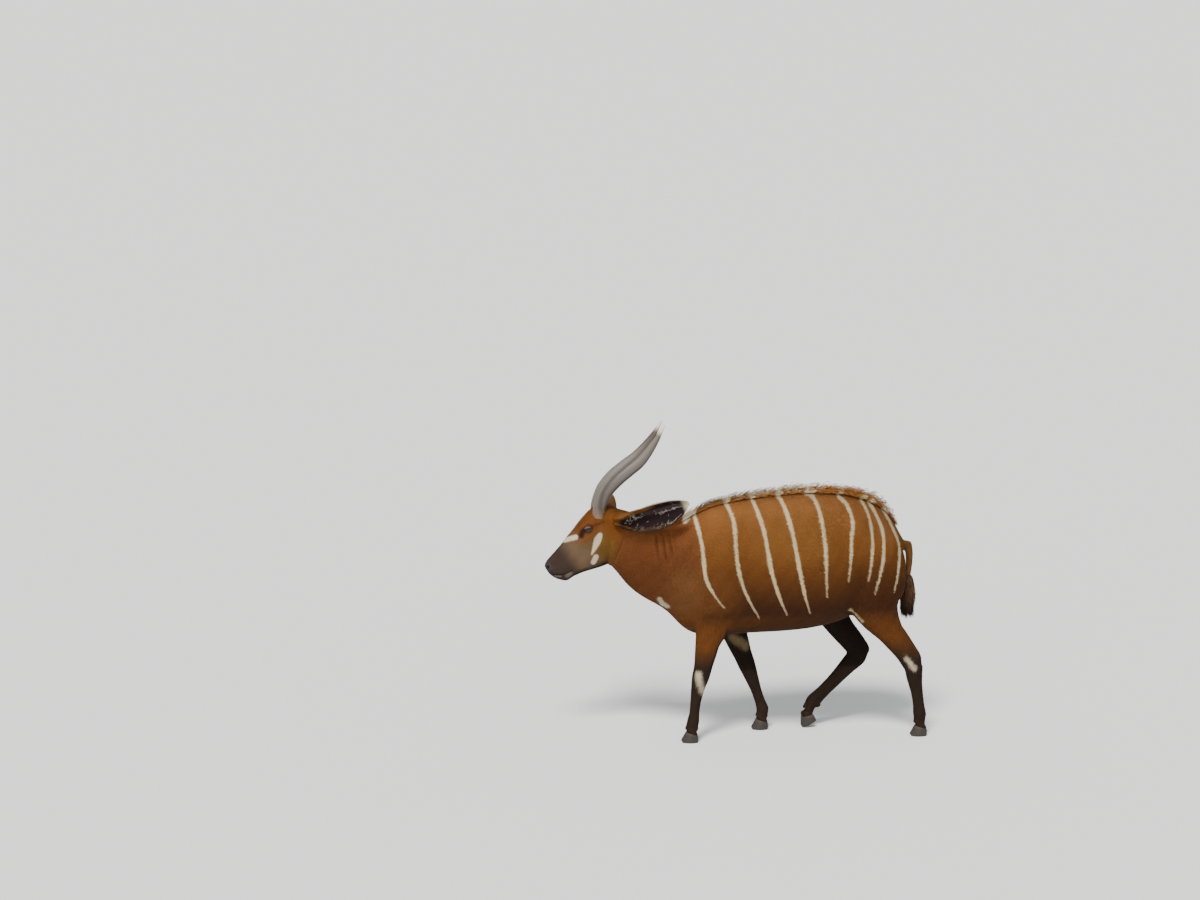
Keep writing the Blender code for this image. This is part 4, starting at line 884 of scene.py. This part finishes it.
eye = {"place": (0.269, 0.0535, 0.058), "radius": 0.0175, "reach": 64,
       "lids": ((30, 0.0034, 0.0014, "upperLid"), (-25, 0.003, 0.0012, "lowerLid"),   # lift, thickness, stand
                (47, 0.0024, 0.0022, "fold"), (-40, 0.002, 0.0016, "fold")),
       "iris": (0.02, 0.01, 0.006), "pupil": (0.002, 0.002, 0.003), "white": (0.04, 0.028, 0.022),
       "upperLid": (0.095, 0.068, 0.06), "lowerLid": (0.032, 0.028, 0.028), "fold": (0.08, 0.034, 0.014)}


def makeEye(side):
    along, across, rise = eye["place"]
    centre = headPlace(along, sides[side] * across, rise)
    out = unit(np.array((0, sides[side], 0)) - axisRow * 0.16 + riseRow * 0.1)
    slit = squareTo(axisRow - riseRow * 0.3, out)
    up = np.cross(slit, out)
    up = up * np.sign(up[2])
    rings, paints = [], []
    for lean in math.pi * np.arange(1, 24) / 24:
        way = math.cos(lean) * out + math.sin(lean) * around(slit, up, 40)
        rings.append(centre + way * eye["radius"])
        paints.append(layered(flat(eye["iris"], way), eye, (
            ("pupil", fade(np.hypot(way @ slit * 0.62, way @ up), 0.24, 0.3)),
            ("white", ramp(np.hypot(way @ slit, way @ up), 0.8, 0.9)),
        )))
    addTubes("eyeball_" + side, [rings], "eyeColour", paints, "wetEye", "eye", "eye_" + side)
    steps = np.linspace(-1, 1, 25)
    turn = np.radians(steps * eye["reach"])[:, None]
    tubes, paints = [], []
    for lift, thick, proud, paint in eye["lids"]:
        tall = np.radians(lift * (1 - steps * steps))[:, None]
        middles = centre + (out * np.cos(turn) * np.cos(tall) + slit * np.sin(turn) + up * np.sin(tall)) * (
            eye["radius"] + proud)
        rings = []
        for i, u in enumerate(steps):
            run = unit(middles[min(i + 1, 24)] - middles[max(i - 1, 0)])
            first = squareTo(middles[i] - centre, run)
            radius = thick * (0.45 + 0.55 * (1 - u * u))
            rings.append(middles[i] + around(first * 0.8, np.cross(run, first), 10) * radius)
        tubes.append(rings)
        paints.append(flat(eye[paint], np.vstack(rings)))
    addTubes("eyelids_" + side, tubes, "lidColour", paints, "lidSkin", "coat")


hoof = {"grid": 0.0017, "smooth": 7, "triangles": 4200, "wall": (0.026, 0.02, 0.016),
        "crown": (0.055, 0.038, 0.026), "edge": (0.055, 0.042, 0.032)}


def makeHooves(limb, side):
    joined = bmesh.new()
    names = [f"hoof_{limb}_{side}_{half}" for half in ("outer", "inner")]
    for name in names:
        claw = addObject("claw", meshOf(weldedNode(name), "claw"))
        addGrid(claw, hoof["grid"])
        smooth = claw.modifiers.new("smooth", "SMOOTH")
        smooth.factor = 0.5
        smooth.iterations = hoof["smooth"]
        shaded(claw)
        addThin(claw, hoof["triangles"])
        joined.from_mesh(shaded(claw))
        bpy.data.objects.remove(claw)
    mesh = meshOf(joined, "hooves")
    points, _ = meshArrays(mesh)
    x, y, z = points.T
    share = (z - z.min()) / np.ptp(z)
    paint = layered(flat(hoof["wall"], points), hoof, (
        ("crown", 0.8 * ramp(share, 0.7, 0.95)),
        ("edge", 0.7 * fade(share, 0.02, 0.14)),
    ))
    addColours(mesh, "hoofColour", paint * (1 + 0.16 * np.sin(z * 1100 + x * 180))[:, None])
    mesh.shade_smooth()
    finished(addObject(f"hooves_{limb}_{side}", mesh), "hoofKeratin", "hoof", *names)


for side in sides:
    makeHorn(side)
    makeEye(side)
    for limb in ("fore", "hind"):
        makeHooves(limb, side)
print("horns, eyes and hooves made")


# hair: one tree of nodes for the coat, the mane, the tail's tuft and the ears' hair

def leafTuft():   # a flat closed tuft of four faces, root first and tip second
    points = [(0, 0, -0.03), (1, 0, 0.2), (0.32, -0.5, 0.09), (0.32, 0.5, 0.09)]
    faces = [(0, 1, 3), (0, 2, 1), (0, 3, 2), (1, 2, 3)]
    mesh = meshFrom("leafTuft", points, faces)
    outward(mesh)
    return addObject("leafTuft", mesh)


def bentLock():   # a longer lock of hair that leaves the skin steeply and bends over
    line = ((0.0, -0.04, 0.7), (0.1, 0.26, 1.0), (0.3, 0.47, 0.85), (0.56, 0.59, 0.55))
    points, faces = [], []
    rings = []
    for i, (x, z, wide) in enumerate(line):
        rings.append([(x - 0.02, -0.5 * wide, z), (x - 0.02, 0.5 * wide, z), (x + 0.05, 0, z + 0.04 * (i > 0))])
    ring(points, faces, rings)
    faces.pop()
    points.append((0.84, 0, 0.62))
    tip = len(points) - 1
    start = tip - 3
    faces.extend([(start, start + 1, tip), (start + 1, start + 2, tip), (start + 2, start, tip)])
    mesh = meshFrom("bentLock", points, faces)
    outward(mesh)
    return addObject("bentLock", mesh)


def hairTree():
    tree = bpy.data.node_groups.new("hairOnSurface", "GeometryNodeTree")
    addSockets(tree, "INPUT", Geometry="Geometry", Tuft="Object", Density="Float", Width="Float", Lift="Float",
               Spread="Float", Uneven="Float", Seed="Int", Material="Material")
    addSockets(tree, "OUTPUT", Geometry="Geometry")
    entry = addNode(tree, "NodeGroupInput")
    uneven = entry["Uneven"]

    def layer(name, kind="FLOAT"):
        return addNode(tree, "GeometryNodeInputNamedAttribute", {"Name": name}, data_type=kind)[0]

    def times(first, second):
        return maths(tree, "MULTIPLY", first, second)

    def chance(low, high, shift):
        seed = maths(tree, "ADD", entry["Seed"], shift)
        return addNode(tree, "FunctionNodeRandomValue", {2: low, 3: high, "Seed": seed}, data_type="FLOAT")[1]

    density = times(layer("tuftShare"), entry["Density"])
    spread = addNode(tree, "GeometryNodeDistributePointsOnFaces",
                     {"Mesh": entry["Geometry"], "Density": density, "Seed": entry["Seed"]})[0]
    place = addNode(tree, "GeometryNodeInputPosition")[0]
    keep = addNode(tree, "GeometryNodeStoreNamedAttribute",
                   {"Geometry": spread, "Name": "rootPlace", "Value": place},
                   data_type="FLOAT_VECTOR", domain="POINT")[0]
    up, along = layer("rootNormal", "FLOAT_VECTOR"), layer("hairLie", "FLOAT_VECTOR")
    axes = addNode(tree, "FunctionNodeAxesToRotation", {"Primary Axis": up, "Secondary Axis": along},
                   primary_axis="Z", secondary_axis="X")[0]
    swing = chance(times(entry["Spread"], -1.0), entry["Spread"], 11)
    yaw = addNode(tree, "FunctionNodeAxisAngleToRotation", {"Axis": (0, 0, 1), "Angle": swing})[0]
    turned = addNode(tree, "FunctionNodeRotateRotation", {"Rotation": axes, "Rotate By": yaw},
                     rotation_space="LOCAL")[0]
    length = times(layer("hairLength"),
                   chance(maths(tree, "SUBTRACT", 1.0, uneven), maths(tree, "ADD", 1.0, uneven), 23))
    width = times(entry["Width"], chance(0.75, 1.25, 37))
    lift = times(times(length, entry["Lift"]), chance(0.7, 1.3, 41))
    size = addNode(tree, "ShaderNodeCombineXYZ", {"X": length, "Y": width, "Z": lift})[0]
    tuft = addNode(tree, "GeometryNodeObjectInfo", {"Object": entry["Tuft"]})["Geometry"]
    put = addNode(tree, "GeometryNodeInstanceOnPoints",
                  {"Points": keep, "Instance": tuft, "Rotation": turned, "Scale": size})[0]
    real = addNode(tree, "GeometryNodeRealizeInstances", {"Geometry": put})[0]
    paint = addNode(tree, "GeometryNodeSetMaterial", {"Geometry": real, "Material": entry["Material"]})[0]
    addNode(tree, "NodeGroupOutput", {"Geometry": paint})
    return tree


hairOnSurface = hairTree()
leaf = leafTuft()
lock = bentLock()
patch = 0.003   # each tuft's size on its piece's map


def growHair(name, base, template, slot, colours, unwrap, shades, **sizes):
    obj = addObject(name, base)
    modifier = obj.modifiers.new("hair", "NODES")
    modifier.node_group = hairOnSurface
    sizes.update(Tuft=template, Material=materials["coatHair"])
    for item in hairOnSurface.interface.items_tree:
        if item.in_out == "INPUT" and item.name in sizes:
            modifier[item.identifier] = sizes[item.name]
    mesh = shaded(obj)
    mesh.name = name
    shape, _ = meshArrays(template.data)
    rows, normals = (readRows(mesh.attributes[key].data, "vector", 3)[::len(shape)].astype(float)
                     for key in ("rootPlace", "rootNormal"))   # once a tuft
    rows += middleRow
    for key in ("rootPlace", "hairLie", "hairLength", "tuftShare"):
        mesh.attributes.remove(mesh.attributes[key])
    paint = colours(rows, normals) * np.random.default_rng(9).uniform(0.86, 1.14, len(rows))[:, None]
    along = (shape[:, 0] - shape[:, 0].min()) / np.ptp(shape[:, 0])
    shade = shades[0] + (shades[1] - shades[0]) * along   # at the root and at the tip: painted shade at the roots, painted light at the tips
    paint = (paint[:, None, :] * shade[None, :, None]).reshape(-1, 3)
    addColours(mesh, "coatColour", np.clip(paint, 0.002, 0.92))
    across = shape[:, 1] / max(np.abs(shape[:, 1]).max(), 1e-6)
    offset = np.column_stack([along - 0.5, across * 0.5 + shape[:, 2] * 0.05]) * patch
    places = (unwrap(rows, normals)[:, None, :] + offset[None]).reshape(-1, 2)
    for old in list(mesh.uv_layers):
        mesh.uv_layers.remove(old)
    corner = readRows(mesh.loops, "vertex_index", 1, np.int32)[:, 0]
    mesh.uv_layers.new(name="OFBake").data.foreach_set("uv", places[corner].astype(np.float32).ravel())
    mesh.shade_smooth()
    finished(obj, "coatHair", slot)
    print(name, len(rows), "tufts", len(mesh.polygons), "faces")


def squared(first, second, cell=None, cells=1):   # two numbers a point, spread over the unit square
    out = np.empty((len(first), 2))
    cell = np.zeros(len(first), int) if cell is None else cell
    for k in range(cells):
        mine = cell == k
        if mine.any():
            for column, value in ((0, first[mine]), (1, second[mine])):
                low, high = value.min(), value.max()
                out[mine, column] = (value - low) / max(high - low, 1e-6)
            out[mine, 0] = (k + 0.01 + 0.98 * out[mine, 0]) / cells
    return 0.004 + 0.992 * out


def aroundTrunk(rows, normals):
    return squared(rows[:, 0], np.arctan2(rows[:, 1], rows[:, 2] - (trunkAt(rows[:, 0]) - 0.22)))


def aroundHead(rows, normals):
    off = rows - noseRow
    return squared(off @ axisRow, np.arctan2(off[:, 1], off @ riseRow + 0.02))


def aroundEars(rows, normals):
    cell = np.zeros(len(rows), int)
    first, second = np.zeros(len(rows)), np.zeros(len(rows))
    for k, side in enumerate(sides):
        ear = earParts(rows, side)
        mine = rows[:, 1] * sides[side] > 0
        cell[mine] = 2 * k + (normals[mine] @ ear.mouth > 0)
        first[mine], second[mine] = ear.across[mine], ear.share[mine]
    return squared(first, second, cell, 4)


def aroundLegs(rows, normals):
    cell = (rows[:, 1] > 0).astype(int)
    turn = np.zeros(len(rows))
    for k in (0, 1):
        part = rows[cell == k]
        z = part[:, 2]
        bins = np.digitize(z, np.linspace(z.min(), z.max(), 30))
        middles = np.array([part[bins == b].mean(0) for b in np.unique(bins)])
        off = part - between(z, middles[:, 2], middles)
        turn[cell == k] = np.arctan2(off[:, 1], off[:, 0])
    return squared(turn, rows[:, 2], cell, 2)


def alongUp(rows, normals):
    return squared(rows[:, 0], np.arctan2(normals[:, 1], normals[:, 2]))


def downTail(rows, normals):
    return squared(np.arctan2(normals[:, 1], normals[:, 0]), rows[:, 2])


def hairBase(name, points, normals, faces, length, share, lie):
    mesh = meshFrom(name, points, faces)
    for key, rows in (("rootNormal", normals), ("hairLie", lie), ("hairLength", length), ("tuftShare", share)):
        addLayer(mesh, key, rows)
    return mesh


def skinPatch(name, triangles, length, share, lie):   # a part of the skin for hair to grow on
    used, faces = np.unique(triangles, return_inverse=True)
    return hairBase(name, skinPoints[used], skinNormals[used], faces.reshape(-1, 3), length[used], share[used],
                    lie[used])


def gridFaces(rows, columns, parted):   # parted leaves the last column unjoined to the first
    for i in range(rows - 1):
        for k in range(columns - parted):
            a, b = i * columns + k, i * columns + (k + 1) % columns
            yield a, a + columns, b + columns, b


def skinTriangles():   # with their middles and the cross products of their sides
    skin.data.calc_loop_triangles()
    triangles = readRows(skin.data.loop_triangles, "vertices", 3, np.int32)
    corners = skinPoints[triangles]
    cross = np.cross(corners[:, 1] - corners[:, 0], corners[:, 2] - corners[:, 0])
    return triangles, corners.mean(1) + middleRow, cross


coatHair = {"Lift": 1.0, "Spread": 0.3, "Uneven": 0.25}
coatEdges = {"legTop": 0.63, "neckEnd": -0.235, "betweenLegs": 0.3, "trunkMiddle": 0.27}
coatPieces = {   # slot, map, tufts and their width
    "coatHead": ("coat", aroundHead, 42000, 0.0017), "coatEars": ("ear", aroundEars, 28000, 0.0022),
    "coatNeck": ("coat", aroundTrunk, 42000, 0.003), "coatForelegs": ("lower_leg", aroundLegs, 34000, 0.0022),
    "coatHindlegs": ("lower_leg", aroundLegs, 42000, 0.0022), "coatTail": ("coat", downTail, 4000, 0.003),
}
for part in ("LeftFore", "LeftRear", "RightFore", "RightRear"):
    coatPieces["coatTrunk" + part] = ("coat", aroundTrunk, 35000, 0.003)


def growCoat():
    triangles, centres, cross = skinTriangles()
    areas = np.linalg.norm(cross, axis=1) / 2
    x, y, z = centres.T
    ears = earMask(centres) > 0.5
    head = isHead(centres) & ~ears
    tail = (tailShare(centres) > 0.5) & ~ears
    low = (z < coatEdges["legTop"]) & ~head & ~ears & ~tail
    foreleg = x < coatEdges["betweenLegs"]
    neck = ~head & ~ears & ~low & ~tail & (x < coatEdges["neckEnd"])
    rest = ~(head | ears | low | neck | tail)
    left, fore = y < 0, x < coatEdges["trunkMiddle"]
    masks = (head, ears, neck, low & foreleg, low & ~foreleg, tail,   # in the order of coatPieces
             rest & left & fore, rest & left & ~fore, rest & ~left & fore, rest & ~left & ~fore)
    lie = coatLie(skinRows, skinNormals)
    length = coatLength(skinRows)
    for seed, (mask, name) in enumerate(zip(masks, coatPieces)):
        slot, unwrap, count, width = coatPieces[name]
        base = skinPatch(name, triangles[mask], length, np.ones(len(skinRows)), lie)
        growHair(name, base, leaf, slot, markings, unwrap, (0.72, 1.12), Density=count / areas[mask].sum(),
                 Width=width, Seed=seed + 3, **coatHair)


growCoat()
print("coat grown")

mane = {"from": -0.5, "to": 0.768, "across": 0.044, "count": 5600,
        "hair": {"Width": 0.0033, "Lift": 1.0, "Spread": 0.35, "Uneven": 0.28, "Seed": 31},
        "heights": ((-0.5, 0.01), (-0.46, 0.018), (-0.3, 0.022), (-0.2, 0.02), (-0.12, 0.024),
                    (0.1, 0.029), (0.6, 0.034), (0.7, 0.022), (0.765, 0.008)),
        "olive": (0.12, 0.062, 0.016), "front": (0.085, 0.044, 0.012), "rear": (0.27, 0.095, 0.014),
        "light": (0.62, 0.5, 0.32)}


def maneColours(rows, normals):
    x = rows[:, 0]
    shift = x + np.random.default_rng(2).normal(0, 0.006, len(x))
    colours = layered(flat(mane["olive"], rows), mane, (
        ("front", fade(x, -0.24, -0.1)),
        ("rear", ramp(x, 0.05, 0.36)),
        *(("light", fade(np.abs(shift - place), 0.007, 0.018) * much) for place, much in maneLight),
        ("light", fade(np.abs(shift + 0.245), 0.012, 0.03) * 0.8),
    ))
    edge = ramp(np.abs(rows[:, 1]), 0.009, 0.018)
    return mixIn(colours, markings(rows, normals), edge)   # plain coat at its edge


def growMane():
    steps = np.arange(mane["from"], mane["to"], 0.008)
    x, c = (part.ravel() for part in np.meshgrid(steps, np.linspace(-1.7, 1.7, 5), indexing="ij"))
    slope = (trunkAt(x + 0.01) - trunkAt(x - 0.01)) / 0.02
    long = np.hypot(1, slope)
    rows = np.column_stack([x, c * 0.012, trunkAt(x) - 0.006 - 0.0005 * c * c])
    normals = unit(np.column_stack([-slope / long, c * 0.3, 1 / long]))
    lie = unit(np.column_stack([1 / long, c * 0.16, slope / long]))
    length = np.interp(x, *zip(*mane["heights"])) * (1.75 - 0.62 * np.abs(c)) + 0.003
    area = (mane["to"] - mane["from"]) * mane["across"]
    faces = gridFaces(len(steps), 5, True)
    base = hairBase("mane", rows - middleRow, normals, faces, length, np.ones(len(x)), lie)
    growHair("mane", base, lock, "coat", maneColours, alongUp, (0.7, 1.15), Density=mane["count"] / area,
             **mane["hair"])


growMane()
print("mane grown")

tuftOfTail = {"count": 900, "top": 0.765, "bottom": 0.615, "longest": 0.13, "end": 0.556,
              "hair": {"Width": 0.0055, "Lift": 0.22, "Spread": 0.16, "Uneven": 0.18, "Seed": 51},
              "root": (0.075, 0.036, 0.018), "tip": (0.014, 0.01, 0.008)}


def tailTuftColours(rows, normals):
    return mixIn(flat(tuftOfTail["tip"], rows), tuftOfTail["root"], ramp(rows[:, 2], 0.64, 0.76))


def growTailTuft():
    heights = np.linspace(tuftOfTail["top"], tuftOfTail["bottom"], 12)
    radii = np.interp(heights, (0.6, 0.69, 0.765), (0.003, 0.01, 0.013))
    ways = around(np.array((1, 0, 0)), np.array((0, 1, 0)), 14)
    rows = np.vstack([(tailAt(z), 0, z) + ways * radius for z, radius in zip(heights, radii)])
    normals = np.tile(ways, (len(heights), 1))
    length = np.repeat(np.minimum(tuftOfTail["longest"], (heights - tuftOfTail["end"]) * 1.12), 14)
    base = hairBase("tailTuft", rows - middleRow, normals, gridFaces(len(heights), 14, False), length,
                    np.ones(len(rows)), unit(flat((0.04, 0, -1.0), rows)))
    tall, wide = 0.15, 0.009   # the base's height and its usual radius
    area = tall * 2 * math.pi * wide
    growHair("tailTuft", base, lock, "coat", tailTuftColours, downTail, (0.8, 1.2),
             Density=tuftOfTail["count"] / area, **tuftOfTail["hair"])


growTailTuft()
print("tail tuft grown")

earHair = {"count": 2200, "length": 0.019, "white": (0.42, 0.36, 0.29), "brown": (0.1, 0.045, 0.018),
           "hair": {"Width": 0.0017, "Lift": 0.42, "Spread": 0.5, "Uneven": 0.35, "Seed": 71},
           # tufts: share along the ear, height across it, and how far each spreads
           "places": ((0.22, 0.05, 0.07, 0.28), (0.7, 0.02, 0.13, 0.13), (0.13, -0.45, 0.06, 0.2),
                      (0.48, -0.85, 0.25, 0.06))}


def earHairColours(rows, normals):
    colours = flat(earHair["white"], rows)
    for side in sides:
        ear = earParts(rows, side)
        low = ramp(-ear.upper, 0.55, 0.85) * fade(ear.share, 0.45, 0.7) * (rows[:, 1] * sides[side] > 0)
        colours = mixIn(colours, earHair["brown"], 0.85 * low)
    return colours


def growEarHair():
    triangles, centres, cross = skinTriangles()
    mask = np.zeros(len(centres), bool)
    lie = np.zeros_like(skinRows)
    weight = np.zeros(len(skinRows))
    for side in sides:
        ear = earParts(centres, side)
        mine = ear.near & (centres[:, 1] * sides[side] > 0)
        mask |= mine & (unit(cross) @ ear.mouth > 0.15) & (ear.share > 0.12) & (ear.share < 0.88)
        ear = earParts(skinRows, side)
        mine = ear.near & (skinRows[:, 1] * sides[side] > 0)
        lie[mine] = (ear.run - 0.9 * ear.edge * np.sign(ear.across)[:, None])[mine]
        tufts = sum(np.exp(-((ear.share - place) / long) ** 2 - ((ear.upper - height) / tall) ** 2)
                    for place, height, long, tall in earHair["places"])
        weight[mine] = np.clip(tufts, 0.02, 1)[mine]
    area = np.linalg.norm(cross[mask], axis=1).sum() / 2
    base = skinPatch("earHair", triangles[mask], np.full(len(skinRows), earHair["length"]), weight,
                     squareTo(lie, skinNormals))
    growHair("earHair", base, lock, "ear", earHairColours, aroundEars, (0.8, 1.1),
             Density=earHair["count"] / area, **earHair["hair"])


growEarHair()
print("ear hair grown")
bpy.data.objects.remove(leaf)
bpy.data.objects.remove(lock)
for loose in [m for m in bpy.data.meshes if m.users == 0]:
    bpy.data.meshes.remove(loose)
